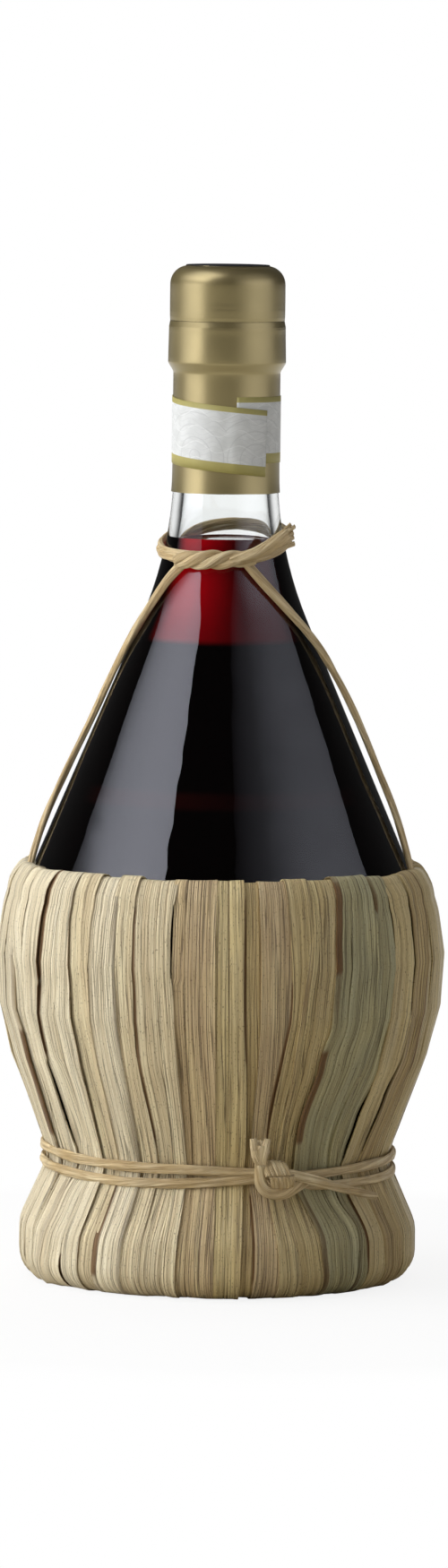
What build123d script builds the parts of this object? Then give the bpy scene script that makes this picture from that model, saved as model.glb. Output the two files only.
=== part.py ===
from build123d import *
from math import atan2, cos, dist, radians, sin, sqrt, tan
import os

# Straw covered wine flask, upright on a table. Lengths in mm, heights above the table.

os.makedirs("parts", exist_ok=True)

# Clearances
seat_gap = 0.3  # between a soft piece and what it rests on
slide_gap = 0.05  # cork to bore, on the radius
cap_gap = 0.3  # pull-off cap to the glass lip
glue_gap = 0.05  # shrunk or glued skins
liquid_gap = 0.05

# Glass flask
bottom_height = 31.0  # of its round bottom, which stands in the straw
kick_radius = 15.0
kick_height = 3.0
kick_round = 8.0
bottom_round_share = 0.824  # of what fits between the side and the kick
bulge_radius = 54.6
bulge_rise = 50.0  # from the bottom to the widest place
bulge_curve = 67.0
under_angle = 25.0
cone_angle = 23.2
neck_radius = 13.5
neck_sweep = 102.0  # long hollow curve from neck to shoulder
neck_length = 51.4  # straight part, up to the mouth
neck_wall = 4.25
glass_wall = 2.9
bore_flare = 2.4  # the bore widens into the neck
mouth_round = 0.8
lip_out = 0.8  # past the neck
lip_round = 4.2
ring_out = 1.4
ring_slope = 2.1
ring_round = 0.5
groove_half = 1.0
groove_depth = 0.4
groove_place_share = 0.2646  # of the neck's length, from the mouth
ring_place_share = 0.4728
fill_drop = 18.6  # fill level under the straight neck, 70 under the mouth

# Cork
cork_to_flare = 7.4  # from its lower end to the end of the straight neck
cork_below_mouth = 0.5
cork_edge = 0.6

# Capsule
foil = 0.35
tear_line = 0.25
skirt_drop = 6.6  # under the straight neck

# Seal strip
paper = 0.25
strip_width = 17.5
strip_above_sweep = 0.6  # its lower edge at the back
strip_drop = 3.6  # how far the front half slants down
strip_under_angle = 11.0
strip_over_angle = 47.0
strip_back_angle = -100.0
strip_lift = 0.28  # the upper end rides over the lower one

# Straw blades: outer face of the basket
blade_thickness = 0.8
blade_gap = 0.35
foot_width = 14.8
base_inset = 2.8  # inside the flask's widest radius
base_round = 7.0
base_flare_share = 0.4335  # of the waist's height, narrowing from the base's side
base_side_share = 0.94  # of the side that its curve takes
waist_inset = 10.3
waist_above_bottom = 0.6
waist_curve = 6.0
belly_room = 6.3
belly_below_bulge = 2.4
belly_curve = 70.0
rim_above_bulge = 27.7
rim_gap = 0.94
fold_width = 4.3
fold_round_share = 0.488
fold_straight = 0.5
blade_proud_step = 0.06
blade_proud_counts = (0, 2, 1, 3, 0, 1, 2)  # steps by which neighbours stand out
blade_width_shares = (
    12, 13, 13, 11, 7, 8.5, 6, 11, 11, 7.5,
    5, 8, 6, 9, 12, 6, 7, 8, 11, 10,
    11, 8, 12, 9, 10.5, 7, 12, 9, 11, 8,
    10, 12, 7.5, 9.5, 11, 9, 12, 9.5,
)  # round the basket, from the left side by the front
first_blade_angle = -94.0

# Base ring
ring_inside = 7.0  # past the blades' feet
ring_shoulder_drop = 2.1
ring_seat_angle = 33.0
ring_seat_half = 4.0
ring_corner = 2.0

# Cords
rim_cord_radius = 0.9
rim_cord_out = 0.25  # flat blades stand further out at their edges
cord_radius = 1.15
cord_sides = 8
coil_turns = 2
coil_gap = 0.5
coil_step_share = 0.001
waist_coil_above = 0.6
waist_stand = 1.4  # straw blades are flat, so the cord clears their corners
waist_knot_angle = 11.0
waist_knot_arc_angle = 12.0
waist_knot_out = 6.7
waist_knot_half_depth = 3.2
waist_knot_half_height = 4.5
waist_tail_angles = (20.0, 30.0, 42.0, 54.0)
waist_tail_outs = (6.3, 6.6, 7.9, 8.3)
waist_tail_drops = (2.6, 5.6, 8.2, 9.2)
neck_cord_drop = 1.5  # under the fill level
neck_cord_tilt = 4.0
neck_stand = 0.5
neck_knot_angle = -40.0
neck_knot_arc_angle = 62.0
neck_knot_drop = 4.5
neck_knot_half_depth = 3.0
neck_knot_half_height = 3.7
knot_round = 1.4
cut_end_radius = 1.7
cut_end_angles = (14.0, 30.0, 49.0)
cut_end_outs = (3.3, 4.0, 6.2)
cut_end_rises = (0.6, 3.6, 8.2)
leg_stand = 0.7
right_leg_angles = (25.0, 41.0, 56.0, 66.0, 71.0, 72.0, 73.0, 76.5)
right_leg_shares = (0.880, 0.801, 0.704, 0.583, 0.450, 0.306, 0.161, 0.022)
left_leg_angles = (-46.0, -62.0, -77.0, -88.0, -92.0, -90.0, -85.0, -78.0)
left_leg_shares = (0.921, 0.831, 0.722, 0.589, 0.444, 0.300, 0.155, 0.022)  # from rim to neck cord


def spot(radius, azimuth, height):
    """A point round the flask: azimuth 0 is the front, positive to the right."""
    turn = radians(azimuth)
    return Vector(radius * sin(turn), -radius * cos(turn), height)


def meridian(azimuth):
    """The upright plane through the axis, its x away from the axis and its y up."""
    turn = radians(azimuth)
    away = Vector(sin(turn), -cos(turn), 0)
    return Plane(origin=(0, 0, 0), x_dir=away, z_dir=away.cross(Vector(0, 0, 1)))


def moved_sideways(corners, distance):
    """An open outline of (x, y, round) moved to its left, its rounds kept concentric."""
    ways = []
    for start, end in zip(corners, corners[1:]):
        run = dist(start[:2], end[:2])
        ways.append(((end[0] - start[0]) / run, (end[1] - start[1]) / run))
    ways = [ways[0], *ways, ways[-1]]
    moved = []
    for (x, y, bend), before, after in zip(corners, ways, ways[1:]):
        turn = before[0] * after[1] - before[1] * after[0]
        spread = 1 + before[0] * after[0] + before[1] * after[1]
        normal_x = -(before[1] + after[1]) / spread
        normal_y = (before[0] + after[0]) / spread
        new_bend = 0
        if bend:
            new_bend = bend - distance if turn > 0 else bend + distance
        moved.append((x + distance * normal_x, y + distance * normal_y, new_bend))
    return moved


def rounded_line(corners):
    """A closed line through corners of (x, y, round)."""
    points = [corner[:2] for corner in corners]
    FilletPolyline(*points, radius=[corner[2] for corner in corners], close=True)


def cord_line(route):
    """Straight runs and the largest tangent arcs that the route's corners allow."""
    bends = []
    for before, here, after in zip(route, route[1:], route[2:]):
        turn = radians((here - before).get_angle(after - here))
        shorter = min((here - before).length, (after - here).length)
        bends.append(0.45 * shorter / tan(turn / 2))
    FilletPolyline(*route, radius=bends)
    return bends


def biarcs(points, tangents):
    """Two tangent arcs from each point to the next."""
    for start, end, leaving, arriving in zip(points, points[1:], tangents, tangents[1:]):
        chord = end - start
        both = leaving + arriving
        bend = 2 * (1 - leaving.dot(arriving))
        along = chord.dot(both)
        reach = (sqrt(along**2 + bend * chord.dot(chord)) - along) / bend
        middle = (start + end + (leaving - arriving) * reach) * 0.5
        TangentArc(start, middle, tangent=leaving)
        TangentArc(middle, end, tangent=(end - arriving * reach) - (start + leaving * reach))


def coil_line(place):
    """A winding of quarter turns with straight ends, place(turn) its centre after that many turns."""
    steps = [quarter / 4 for quarter in range(4 * coil_turns + 1)]
    points = [place(step) for step in steps]
    ahead = [place(step + coil_step_share) for step in steps]
    behind = [place(step - coil_step_share) for step in steps]
    tangents = [(later - earlier).normalized() for later, earlier in zip(ahead, behind)]
    Line(points[0] - tangents[0] * 2 * cord_radius, points[0])
    biarcs(points, tangents)
    Line(points[-1], points[-1] + tangents[-1] * 2 * cord_radius)


def least_gap(place):
    """The least gap between one turn of a winding and the next, on points."""
    turns = [place(step / 36) for step in range(36 * coil_turns + 1)]
    apart = [(one - other).length for n, one in enumerate(turns) for other in turns[n + 18:]]
    return min(apart) - 2 * cord_radius


# Outlines that pieces share, from the named sizes
cone_slope = tan(radians(cone_angle))
under_slope = tan(radians(under_angle))
bulge_height = bottom_height + bulge_rise
bulge_centre = bulge_radius - bulge_curve
cone_touch = (
    bulge_centre + bulge_curve * cos(radians(cone_angle)),
    bulge_height + bulge_curve * sin(radians(cone_angle)),
)
under_touch = (
    bulge_centre + bulge_curve * cos(radians(under_angle)),
    bulge_height - bulge_curve * sin(radians(under_angle)),
)
corner_height = cone_touch[0] - under_touch[0] + cone_slope * cone_touch[1] + under_slope * under_touch[1]
corner_height = corner_height / (cone_slope + under_slope)
corner_radius = under_touch[0] + under_slope * (corner_height - under_touch[1])
neck_corner_height = cone_touch[1] + (cone_touch[0] - neck_radius) / cone_slope
bottom_corner_radius = under_touch[0] - under_slope * (under_touch[1] - bottom_height)
bottom_half_turn = radians(90 - under_angle) / 2
side_run = (under_touch[1] - bottom_height) / cos(radians(under_angle))
bottom_room = min(bottom_corner_radius - kick_radius, side_run)
bottom_curve = bottom_round_share * bottom_room / tan(bottom_half_turn)
sweep_top = neck_corner_height + neck_sweep * tan(radians(cone_angle / 2))
mouth_height = sweep_top + neck_length
groove_height = mouth_height - groove_place_share * neck_length
ring_bottom = mouth_height - ring_place_share * neck_length
fill_height = sweep_top - fill_drop
bore_radius = neck_radius - neck_wall
lip_radius = neck_radius + lip_out
ring_radius = neck_radius + ring_out
cork_length = neck_length - cork_to_flare

# from the neck down to the middle of the bottom
body_outline = [
    (neck_radius, ring_bottom - ring_slope, 0),
    (neck_radius, neck_corner_height, neck_sweep),
    (corner_radius, corner_height, bulge_curve),
    (bottom_corner_radius, bottom_height, bottom_curve),
    (kick_radius, bottom_height, kick_round),
    (0, bottom_height + kick_height, 0),
]


def glass_radius(height):
    """The flask's outer radius at a height on its neck or shoulder."""
    if height > sweep_top - neck_sweep * sin(radians(cone_angle)):
        down = max(sweep_top - height, 0)
        return neck_radius + neck_sweep - sqrt(neck_sweep**2 - down**2)
    if height > cone_touch[1]:
        return cone_touch[0] - cone_slope * (height - cone_touch[1])
    return bulge_centre + sqrt(bulge_curve**2 - (height - bulge_height) ** 2)


# Glass flask
bore_depth = cork_length + cork_below_mouth
inner_outline = moved_sideways(body_outline, -glass_wall)
inner_outline[0] = (inner_outline[0][0], mouth_height - bore_depth - 2 * bore_flare, 0)
inner_outline[-1] = (0, bottom_height + kick_height + glass_wall, 0)
with BuildPart() as flask:
    with BuildSketch(Plane.XZ):
        with BuildLine():
            rounded_line(
                [
                    (bore_radius, mouth_height, mouth_round),
                    (lip_radius, mouth_height, lip_round),
                    (lip_radius, groove_height + groove_half, 0),
                    (lip_radius - groove_depth, groove_height, 0),
                    (ring_radius, groove_height - groove_half, 0),
                    (ring_radius, ring_bottom, ring_round),
                    *body_outline,
                    *reversed(inner_outline),
                    (bore_radius, mouth_height - bore_depth - bore_flare, 0),
                ]
            )
        make_face()
    revolve(axis=Axis.Z)

# Wine, up to the fill level
wine_outline = moved_sideways(inner_outline, -liquid_gap)
wine_outline[0] = (wine_outline[0][0], fill_height + neck_sweep, 0)
with BuildPart() as wine:
    with BuildSketch(Plane.XZ):
        with BuildLine():
            rounded_line([*wine_outline, (0, fill_height + neck_sweep, 0)])
        make_face()
    revolve(axis=Axis.Z)
    split(bisect_by=Plane.XY.offset(fill_height), keep=Keep.BOTTOM)

# Cork, in the bore just under the mouth
cork_top = mouth_height - cork_below_mouth
with BuildPart() as cork:
    with BuildSketch(Plane.XY.offset(cork_top - cork_length)):
        Circle(bore_radius - slide_gap)
    extrude(amount=cork_length)
    chamfer(cork.edges().filter_by(GeomType.CIRCLE), length=cork_edge)

# Capsule cap, which comes off above the tear line
cap_outer = [
    (lip_radius + cap_gap + foil, groove_height, 0),
    (lip_radius + cap_gap + foil, mouth_height + cap_gap + foil, lip_round + cap_gap + foil),
    (0, mouth_height + cap_gap + foil, 0),
]
cap_inner = moved_sideways(cap_outer, foil)
with BuildPart() as capsule_cap:
    with BuildSketch(Plane.XZ):
        with BuildLine():
            rounded_line([*cap_outer, *reversed(cap_inner)])
        make_face()
    revolve(axis=Axis.Z)
    split(bisect_by=Plane.XY.offset(groove_height + tear_line / 2), keep=Keep.TOP)

# Capsule skirt, shrunk on the ring and the neck
skirt_inner = [
    (lip_radius - groove_depth, groove_height, 0),
    (ring_radius, groove_height - groove_half, 0),
    (ring_radius, ring_bottom, ring_round),
    (neck_radius, ring_bottom - ring_slope, 0),
    (neck_radius, neck_corner_height, neck_sweep),
    (corner_radius, corner_height, 0),
]
skirt_near = moved_sideways(skirt_inner, glue_gap)
skirt_far = moved_sideways(skirt_inner, glue_gap + foil)
with BuildPart() as capsule_skirt:
    with BuildSketch(Plane.XZ):
        with BuildLine():
            rounded_line([*skirt_near, *reversed(skirt_far)])
        make_face()
    revolve(axis=Axis.Z)
    split(bisect_by=Plane.XY.offset(sweep_top - skirt_drop), keep=Keep.TOP)
    split(bisect_by=Plane.XY.offset(groove_height - tear_line / 2), keep=Keep.BOTTOM)

# Seal strip: level round the back, slanting down across the front over its own lower end
strip_radius = neck_radius + 2 * glue_gap + foil
strip_middle = sweep_top + strip_above_sweep + strip_width / 2
strip_start = spot(strip_radius, strip_back_angle, strip_middle)
strip_run = spot(strip_radius, strip_over_angle, strip_middle - strip_drop) - strip_start
strip_side = Vector(-strip_run.Y, strip_run.X, 0)
strip_plane = Plane(origin=strip_start, x_dir=strip_run, z_dir=strip_run.cross(strip_side))
with BuildPart() as strip_front:
    with BuildSketch(strip_plane):
        Circle(4 * strip_radius)
    extrude(amount=strip_width / 2, both=True)
    with BuildSketch(Plane(origin=spot(strip_lift, (strip_under_angle + strip_over_angle) / 2, 0))):
        Circle(strip_radius + paper + strip_lift / 2)
        Circle(strip_radius + strip_lift / 2, mode=Mode.SUBTRACT)
    extrude(amount=mouth_height, mode=Mode.INTERSECT)
    with BuildSketch(Plane.XY):
        with BuildLine():
            Polyline(
                (0, 0),
                spot(4 * strip_radius, strip_back_angle, 0),
                spot(4 * strip_radius, (strip_back_angle + strip_over_angle) / 2, 0),
                spot(4 * strip_radius, strip_over_angle, 0),
                close=True,
            )
        make_face()
    extrude(amount=mouth_height, mode=Mode.INTERSECT)
with BuildPart() as seal_strip:
    with BuildSketch(meridian(strip_under_angle)):
        with Locations((strip_radius + paper / 2, strip_middle)):
            Rectangle(paper, strip_width)
    revolve(axis=Axis.Z, revolution_arc=360 + strip_back_angle - strip_under_angle)
    add(strip_front.part)

# Straw blade outline, from its foot under the base to its end inside the rim
base_radius = bulge_radius - base_inset
waist_radius = bulge_radius - waist_inset
belly_radius = bulge_radius + belly_room
waist_height = bottom_height + waist_above_bottom
base_flare = base_flare_share * waist_height
base_side_height = waist_height - base_flare
belly_height = bulge_height - belly_below_bulge
rim_height = bulge_height + rim_above_bulge
rim_radius = glass_radius(rim_height) + fold_width + rim_gap
rim_lean = atan2(belly_radius - rim_radius, rim_height - belly_height)
rim_way = (sin(rim_lean), cos(rim_lean))
fold_corner = (rim_radius - fold_width * rim_way[1], rim_height - fold_width * rim_way[0])
fold_round = fold_round_share * fold_width
fold_leg = fold_round + fold_straight
waist_lean = atan2(base_radius - waist_radius, base_flare)
base_side_curve = base_side_share * (base_side_height - base_round) / tan(waist_lean / 2)
blade_outline = [
    (base_radius - foot_width, 0, 0),
    (base_radius, 0, base_round),
    (base_radius, base_side_height, base_side_curve),
    (waist_radius, waist_height, waist_curve),
    (belly_radius, belly_height, belly_curve),
    (rim_radius, rim_height, fold_round),
    (*fold_corner, fold_round),
    (fold_corner[0] + fold_leg * rim_way[0], fold_corner[1] - fold_leg * rim_way[1], 0),
]
blade_inside = moved_sideways(blade_outline, blade_thickness)
rim_cord_centre = (
    rim_radius - fold_width / 2 * (rim_way[1] - rim_way[0]) + rim_cord_out,
    rim_height - fold_width / 2 * (rim_way[1] + rim_way[0]),
)

# Straw blades, each flat across and trimmed to its share of the circle
basket_reach = 2 * belly_radius
share_angle = 360 / sum(blade_width_shares)
blade_edge = first_blade_angle
for number, share in enumerate(blade_width_shares, start=1):
    width_angle = share * share_angle
    azimuth = blade_edge + width_angle / 2
    proud = blade_proud_step * blade_proud_counts[number % len(blade_proud_counts)]
    flare = tan(radians(width_angle / 2))
    side = blade_gap / 2 / cos(radians(width_angle / 2))
    plane = meridian(azimuth)
    with BuildPart() as blade:
        with BuildSketch(plane):
            with BuildLine():
                rounded_line([(x + proud, y, bend) for x, y, bend in blade_outline + blade_inside[::-1]])
            make_face()
        extrude(amount=basket_reach * flare, both=True)
        with BuildSketch(Plane(origin=(0, 0, 0), x_dir=plane.x_dir, z_dir=(0, 0, 1))):
            with BuildLine():
                Polyline(
                    (side / flare, 0),
                    (basket_reach, basket_reach * flare - side),
                    (basket_reach, side - basket_reach * flare),
                    close=True,
                )
            make_face()
        extrude(amount=mouth_height, mode=Mode.INTERSECT)
    node = f"straw_blade_{number:02d}"
    blade.part.label = node
    export_step(blade.part, f"parts/{node}.step")
    blade_edge += width_angle

# Base ring of packed straw, its seat a cone that touches the round bottom
bottom_centre = (
    bottom_corner_radius - bottom_curve * tan(bottom_half_turn),
    bottom_height + bottom_curve,
)
seat_way = (cos(radians(ring_seat_angle)), sin(radians(ring_seat_angle)))
seat_reach = bottom_curve + seat_gap
seat_middle = (bottom_centre[0] + seat_reach * seat_way[1], bottom_centre[1] - seat_reach * seat_way[0])
seat_outside = (
    seat_middle[0] + ring_seat_half * seat_way[0],
    seat_middle[1] + ring_seat_half * seat_way[1],
)
ring_hole_radius = base_radius - foot_width - ring_inside
seat_inside_height = seat_middle[1] - (seat_middle[0] - ring_hole_radius) * tan(radians(ring_seat_angle))
ring_outside = moved_sideways(blade_outline, blade_thickness + seat_gap)
ring_shoulder_height = waist_height - ring_shoulder_drop
ring_shoulder_radius = ring_outside[2][0] - tan(waist_lean) * (ring_shoulder_height - ring_outside[2][1])
ring_outline = [
    (ring_hole_radius, ring_outside[0][1], ring_corner),
    ring_outside[1],
    ring_outside[2],
    (ring_shoulder_radius, ring_shoulder_height, ring_corner),
    (*seat_outside, ring_corner / 2),
    (ring_hole_radius, seat_inside_height, 0),
]
with BuildPart() as base_ring:
    with BuildSketch(Plane.XZ):
        with BuildLine():
            rounded_line(ring_outline)
        make_face()
    revolve(axis=Axis.Z)

# Rim cord, hidden in the fold of the blades
with BuildPart() as rim_cord:
    with BuildSketch(Plane.XZ):
        with Locations(rim_cord_centre):
            RegularPolygon(rim_cord_radius, cord_sides)
    revolve(axis=Axis.Z)

# Waist cord: two tight turns, its knot at the front and one loose end
waist_rise = atan2(belly_radius - waist_radius, belly_height - waist_height)
waist_half_turn = (waist_lean + waist_rise) / 2
waist_narrowest = waist_radius + waist_curve / cos(waist_half_turn) - waist_curve
waist_coil_radius = waist_narrowest + waist_stand + cord_radius
waist_coil_height = waist_height + waist_coil_above
coil_pitch = 2 * cord_radius + coil_gap


def waist_place(turn):
    """The waist cord's centre after a number of turns from the knot's middle."""
    height = waist_coil_height + coil_pitch * (turn - coil_turns / 2)
    return spot(waist_coil_radius, 360 * turn + waist_knot_angle + waist_knot_arc_angle / 2, height)


waist_tail_route = [
    spot(waist_radius + out, azimuth, waist_height - drop)
    for out, azimuth, drop in zip(waist_tail_outs, waist_tail_angles, waist_tail_drops)
]
with BuildPart() as waist_knot:
    with BuildSketch(meridian(waist_knot_angle)):
        with Locations((waist_radius + waist_knot_out, waist_coil_height)):
            Ellipse(waist_knot_half_depth, waist_knot_half_height)
    revolve(axis=Axis.Z, revolution_arc=waist_knot_arc_angle)
    fillet(waist_knot.edges().filter_by(GeomType.ELLIPSE), radius=knot_round)
with BuildPart() as waist_cord:
    with BuildLine() as waist_path:
        coil_line(waist_place)
    with BuildSketch(Plane(origin=waist_path.line @ 0, z_dir=waist_path.line % 0)):
        RegularPolygon(cord_radius, cord_sides)
    sweep()
    add(waist_knot.part)
    with BuildLine() as waist_tail_path:
        waist_tail_bends = cord_line(waist_tail_route)
    with BuildSketch(Plane(origin=waist_tail_path.line @ 0, z_dir=waist_tail_path.line % 0)):
        RegularPolygon(cord_radius, cord_sides)
    sweep()


# Neck cord: two turns, higher behind, its knot and cut end at the front
def neck_place(turn):
    """The neck cord's centre after a number of turns from the knot's middle."""
    azimuth = 360 * turn + neck_knot_angle + neck_knot_arc_angle / 2
    height = neck_cord_height + coil_pitch * (turn - coil_turns / 2)
    height = height - neck_cord_tilt * cos(radians(azimuth))
    return spot(glass_radius(height) + neck_stand + cord_radius, azimuth, height)


neck_cord_height = fill_height - neck_cord_drop
neck_knot_height = neck_cord_height - neck_knot_drop
neck_knot_glass = glass_radius(neck_knot_height)
cut_end_route = [
    spot(neck_knot_glass + out, azimuth, neck_knot_height + rise)
    for out, azimuth, rise in zip(cut_end_outs, cut_end_angles, cut_end_rises)
]
with BuildPart() as neck_knot:
    with BuildSketch(meridian(neck_knot_angle)):
        with Locations((neck_knot_glass + seat_gap + neck_knot_half_depth, neck_knot_height)):
            Ellipse(neck_knot_half_depth, neck_knot_half_height)
    revolve(axis=Axis.Z, revolution_arc=neck_knot_arc_angle)
    fillet(neck_knot.edges().filter_by(GeomType.ELLIPSE), radius=knot_round)
with BuildPart() as neck_cord:
    with BuildLine() as neck_path:
        coil_line(neck_place)
    with BuildSketch(Plane(origin=neck_path.line @ 0, z_dir=neck_path.line % 0)):
        RegularPolygon(cord_radius, cord_sides)
    sweep()
    add(neck_knot.part)
    with BuildLine() as cut_end_path:
        cut_end_bends = cord_line(cut_end_route)
    with BuildSketch(Plane(origin=cut_end_path.line @ 0, z_dir=cut_end_path.line % 0)):
        RegularPolygon(cut_end_radius, cord_sides)
    sweep()

# Cord legs, from the knot down the shoulder to the rim of the basket
leg_out = leg_stand + cord_radius
for node, angles, shares in (
    ("left_cord_leg", left_leg_angles, left_leg_shares),
    ("right_cord_leg", right_leg_angles, right_leg_shares),
):
    route = []
    for azimuth, share in zip(angles, shares):
        height = rim_height + share * (neck_cord_height - rim_height)
        route.append(spot(glass_radius(height) + leg_out, azimuth, height))
    with BuildPart() as leg:
        with BuildLine() as leg_path:
            bends = cord_line(route)
        with BuildSketch(Plane(origin=leg_path.line @ 0, z_dir=leg_path.line % 0)):
            RegularPolygon(cord_radius, cord_sides)
        sweep()
    print(node, "bend radii", [round(bend, 1) for bend in bends])
    leg.part.label = node
    export_step(leg.part, f"parts/{node}.step")

print("wine volume", round(wine.part.volume / 1000, 1), "ml")
print("least gap in the waist winding", round(least_gap(waist_place), 2), "mm")
print("least gap in the neck winding", round(least_gap(neck_place), 2), "mm")
print("waist tail and cut end radii", [round(bend, 1) for bend in waist_tail_bends + cut_end_bends])
for piece, node in (
    (flask, "glass_flask"),
    (wine, "wine"),
    (cork, "cork"),
    (capsule_cap, "capsule_cap"),
    (capsule_skirt, "capsule_skirt"),
    (seal_strip, "seal_strip"),
    (base_ring, "base_ring"),
    (rim_cord, "rim_cord"),
    (waist_cord, "waist_cord"),
    (neck_cord, "neck_cord"),
):
    piece.part.label = node
    export_step(piece.part, f"parts/{node}.step")
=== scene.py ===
import math
import random
import bpy
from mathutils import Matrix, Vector, noise


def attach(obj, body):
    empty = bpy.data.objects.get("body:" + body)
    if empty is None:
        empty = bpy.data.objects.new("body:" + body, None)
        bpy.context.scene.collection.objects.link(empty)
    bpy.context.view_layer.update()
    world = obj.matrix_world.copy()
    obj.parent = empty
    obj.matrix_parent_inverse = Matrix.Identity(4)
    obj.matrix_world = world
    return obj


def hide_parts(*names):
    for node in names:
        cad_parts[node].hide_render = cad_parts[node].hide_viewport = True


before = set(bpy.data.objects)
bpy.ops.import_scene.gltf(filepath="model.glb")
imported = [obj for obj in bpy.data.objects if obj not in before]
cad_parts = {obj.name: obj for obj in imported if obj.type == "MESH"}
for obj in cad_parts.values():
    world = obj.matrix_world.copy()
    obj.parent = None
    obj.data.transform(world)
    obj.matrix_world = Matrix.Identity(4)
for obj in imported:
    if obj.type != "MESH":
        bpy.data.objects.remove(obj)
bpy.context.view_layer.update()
mm = 0.001


# Helpers

def spot(radius, azimuth, height):  # mm and degrees to metres, azimuth 0 at the front, positive to the right
    turn = math.radians(azimuth)
    return Vector((radius * math.sin(turn), -radius * math.cos(turn), height)) * mm


def easeBetween(low, high, value):
    share = min(max((value - low) / (high - low), 0), 1)
    return share * share * (3 - 2 * share)


def hump(value, middle, width):
    return math.exp(-((value - middle) / width) ** 2)


def ripple(a, b, c=0.0):  # smooth noise from -1 to 1
    return noise.noise(Vector((a, b, c)))


def roundedOutline(corners, turnStep=7):  # corners of (x, y, round) to a fine row of points
    points = []
    for n, (x, y, bend) in enumerate(corners):
        here = Vector((x, y))
        if not bend:
            points.append(here)
            continue
        before = (Vector(corners[n - 1][:2]) - here).normalized()
        after = (Vector(corners[n + 1][:2]) - here).normalized()
        half = math.acos(max(-1, min(1, before.dot(after)))) / 2
        centre = here + (before + after).normalized() * bend / math.sin(half)
        start = here + before * bend / math.tan(half) - centre
        side = 1 if before.x * after.y - before.y * after.x < 0 else -1
        sweep = math.pi - 2 * half
        count = max(2, math.ceil(math.degrees(sweep) / turnStep))
        for k in range(count + 1):
            a = side * sweep * k / count
            points.append(centre + Vector((start.x * math.cos(a) - start.y * math.sin(a),
                                           start.x * math.sin(a) + start.y * math.cos(a))))
    return points


def dividedLine(points, step):  # no run longer than step
    finer = [points[0]]
    for a, b in zip(points, points[1:]):
        count = max(1, math.ceil((b - a).length / step))
        finer += [a.lerp(b, k / count) for k in range(1, count + 1)]
    return finer


def evenLine(points, step):  # the same line with its points evenly apart
    lengths = [0]
    for a, b in zip(points, points[1:]):
        lengths.append(lengths[-1] + (b - a).length)
    count = max(2, round(lengths[-1] / step))
    line, at = [], 0
    for k in range(count + 1):
        want = lengths[-1] * k / count
        while at < len(points) - 2 and lengths[at + 1] < want:
            at += 1
        run = lengths[at + 1] - lengths[at]
        line.append(points[at].lerp(points[at + 1], (want - lengths[at]) / run if run else 0))
    return line


def splineLine(points, step):  # a smooth NURBS line near the route's points
    curve = bpy.data.curves.new("route", "CURVE")
    curve.dimensions = "3D"
    curve.resolution_u = 16
    spline = curve.splines.new("NURBS")
    spline.points.add(len(points) - 1)
    for point, place in zip(spline.points, points):
        point.co = (*place, 1)
    spline.order_u = 3
    spline.use_endpoint_u = True
    holder = bpy.data.objects.new("route", curve)
    mesh = bpy.data.meshes.new_from_object(holder)
    line = [v.co.copy() for v in mesh.vertices]
    bpy.data.objects.remove(holder)
    bpy.data.curves.remove(curve)
    bpy.data.meshes.remove(mesh)
    return evenLine(line, step)


# a map has a place for each point or for each corner of a face
def addPiece(name, points, faces, material, maps=None, sharpAngle=None):
    mesh = bpy.data.meshes.new(name)
    mesh.from_pydata(points, [], faces)
    for mapName, spots in (maps or {}).items():
        layer = mesh.uv_layers.new(name=mapName)
        perCorner = len(spots) == len(mesh.loops)
        for loop in mesh.loops:
            layer.data[loop.index].uv = spots[loop.index if perCorner else loop.vertex_index]
    mesh.polygons.foreach_set("use_smooth", [True] * len(mesh.polygons))
    if sharpAngle:
        mesh.set_sharp_from_angle(angle=math.radians(sharpAngle))
    mesh.materials.append(material)
    piece = bpy.data.objects.new(name, mesh)
    bpy.context.scene.collection.objects.link(piece)
    return piece


# an outline of (radius, height) in mm, turned round the bottle's axis
def lathe(name, outline, material, segments=160, sharpAngle=40, shape=None):
    points, rings, faces = [], [], []
    for r, z in outline:
        if r < 0.001:
            rings.append([len(points)] * segments)
            points.append(Vector((0, 0, z * mm)))
            continue
        rings.append(list(range(len(points), len(points) + segments)))
        for k in range(segments):
            azimuth = 360 * k / segments
            out, up = shape(r, azimuth, z) if shape else (0, 0)
            points.append(spot(r + out, azimuth, z + up))
    for low, high in zip(rings, rings[1:]):
        for k in range(segments):
            corners = [low[k], low[k - segments + 1], high[k - segments + 1], high[k]]
            faces.append(list(dict.fromkeys(corners)))
    return addPiece(name, points, faces, material, sharpAngle=sharpAngle)


def finishPiece(piece, body, slot, *replaced):
    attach(piece, body)
    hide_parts(*replaced)


# Node helpers

def put(tree, kind, inputs=None, **settings):
    made = tree.nodes.new(kind)
    for key, value in settings.items():
        setattr(made, key, value)
    for key, value in (inputs or {}).items():
        if isinstance(value, bpy.types.NodeSocket):
            tree.links.new(value, made.inputs[key])
        else:
            made.inputs[key].default_value = value
    return made


def calc(tree, operation, a, b=0.0, clamp=False):
    return put(tree, "ShaderNodeMath", {0: a, 1: b}, operation=operation, use_clamp=clamp).outputs[0]


def times(tree, *values):
    product = values[0]
    for value in values[1:]:
        product = calc(tree, "MULTIPLY", product, value)
    return product


def between(tree, value, low, high, newLow=0.0, newHigh=1.0):
    inputs = {"Value": value, "From Min": low, "From Max": high, "To Min": newLow, "To Max": newHigh}
    return put(tree, "ShaderNodeMapRange", inputs, interpolation_type="SMOOTHSTEP").outputs[0]


def noiseAt(tree, place, scale, detail=2.0):
    return put(tree, "ShaderNodeTexNoise", {"Vector": place, "Scale": scale, "Detail": detail}).outputs[0]


def axes(tree, place):
    return put(tree, "ShaderNodeSeparateXYZ", {0: place}).outputs


def vectorOf(tree, x, y, z=0.0):
    return put(tree, "ShaderNodeCombineXYZ", {0: x, 1: y, 2: z}).outputs[0]


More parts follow.
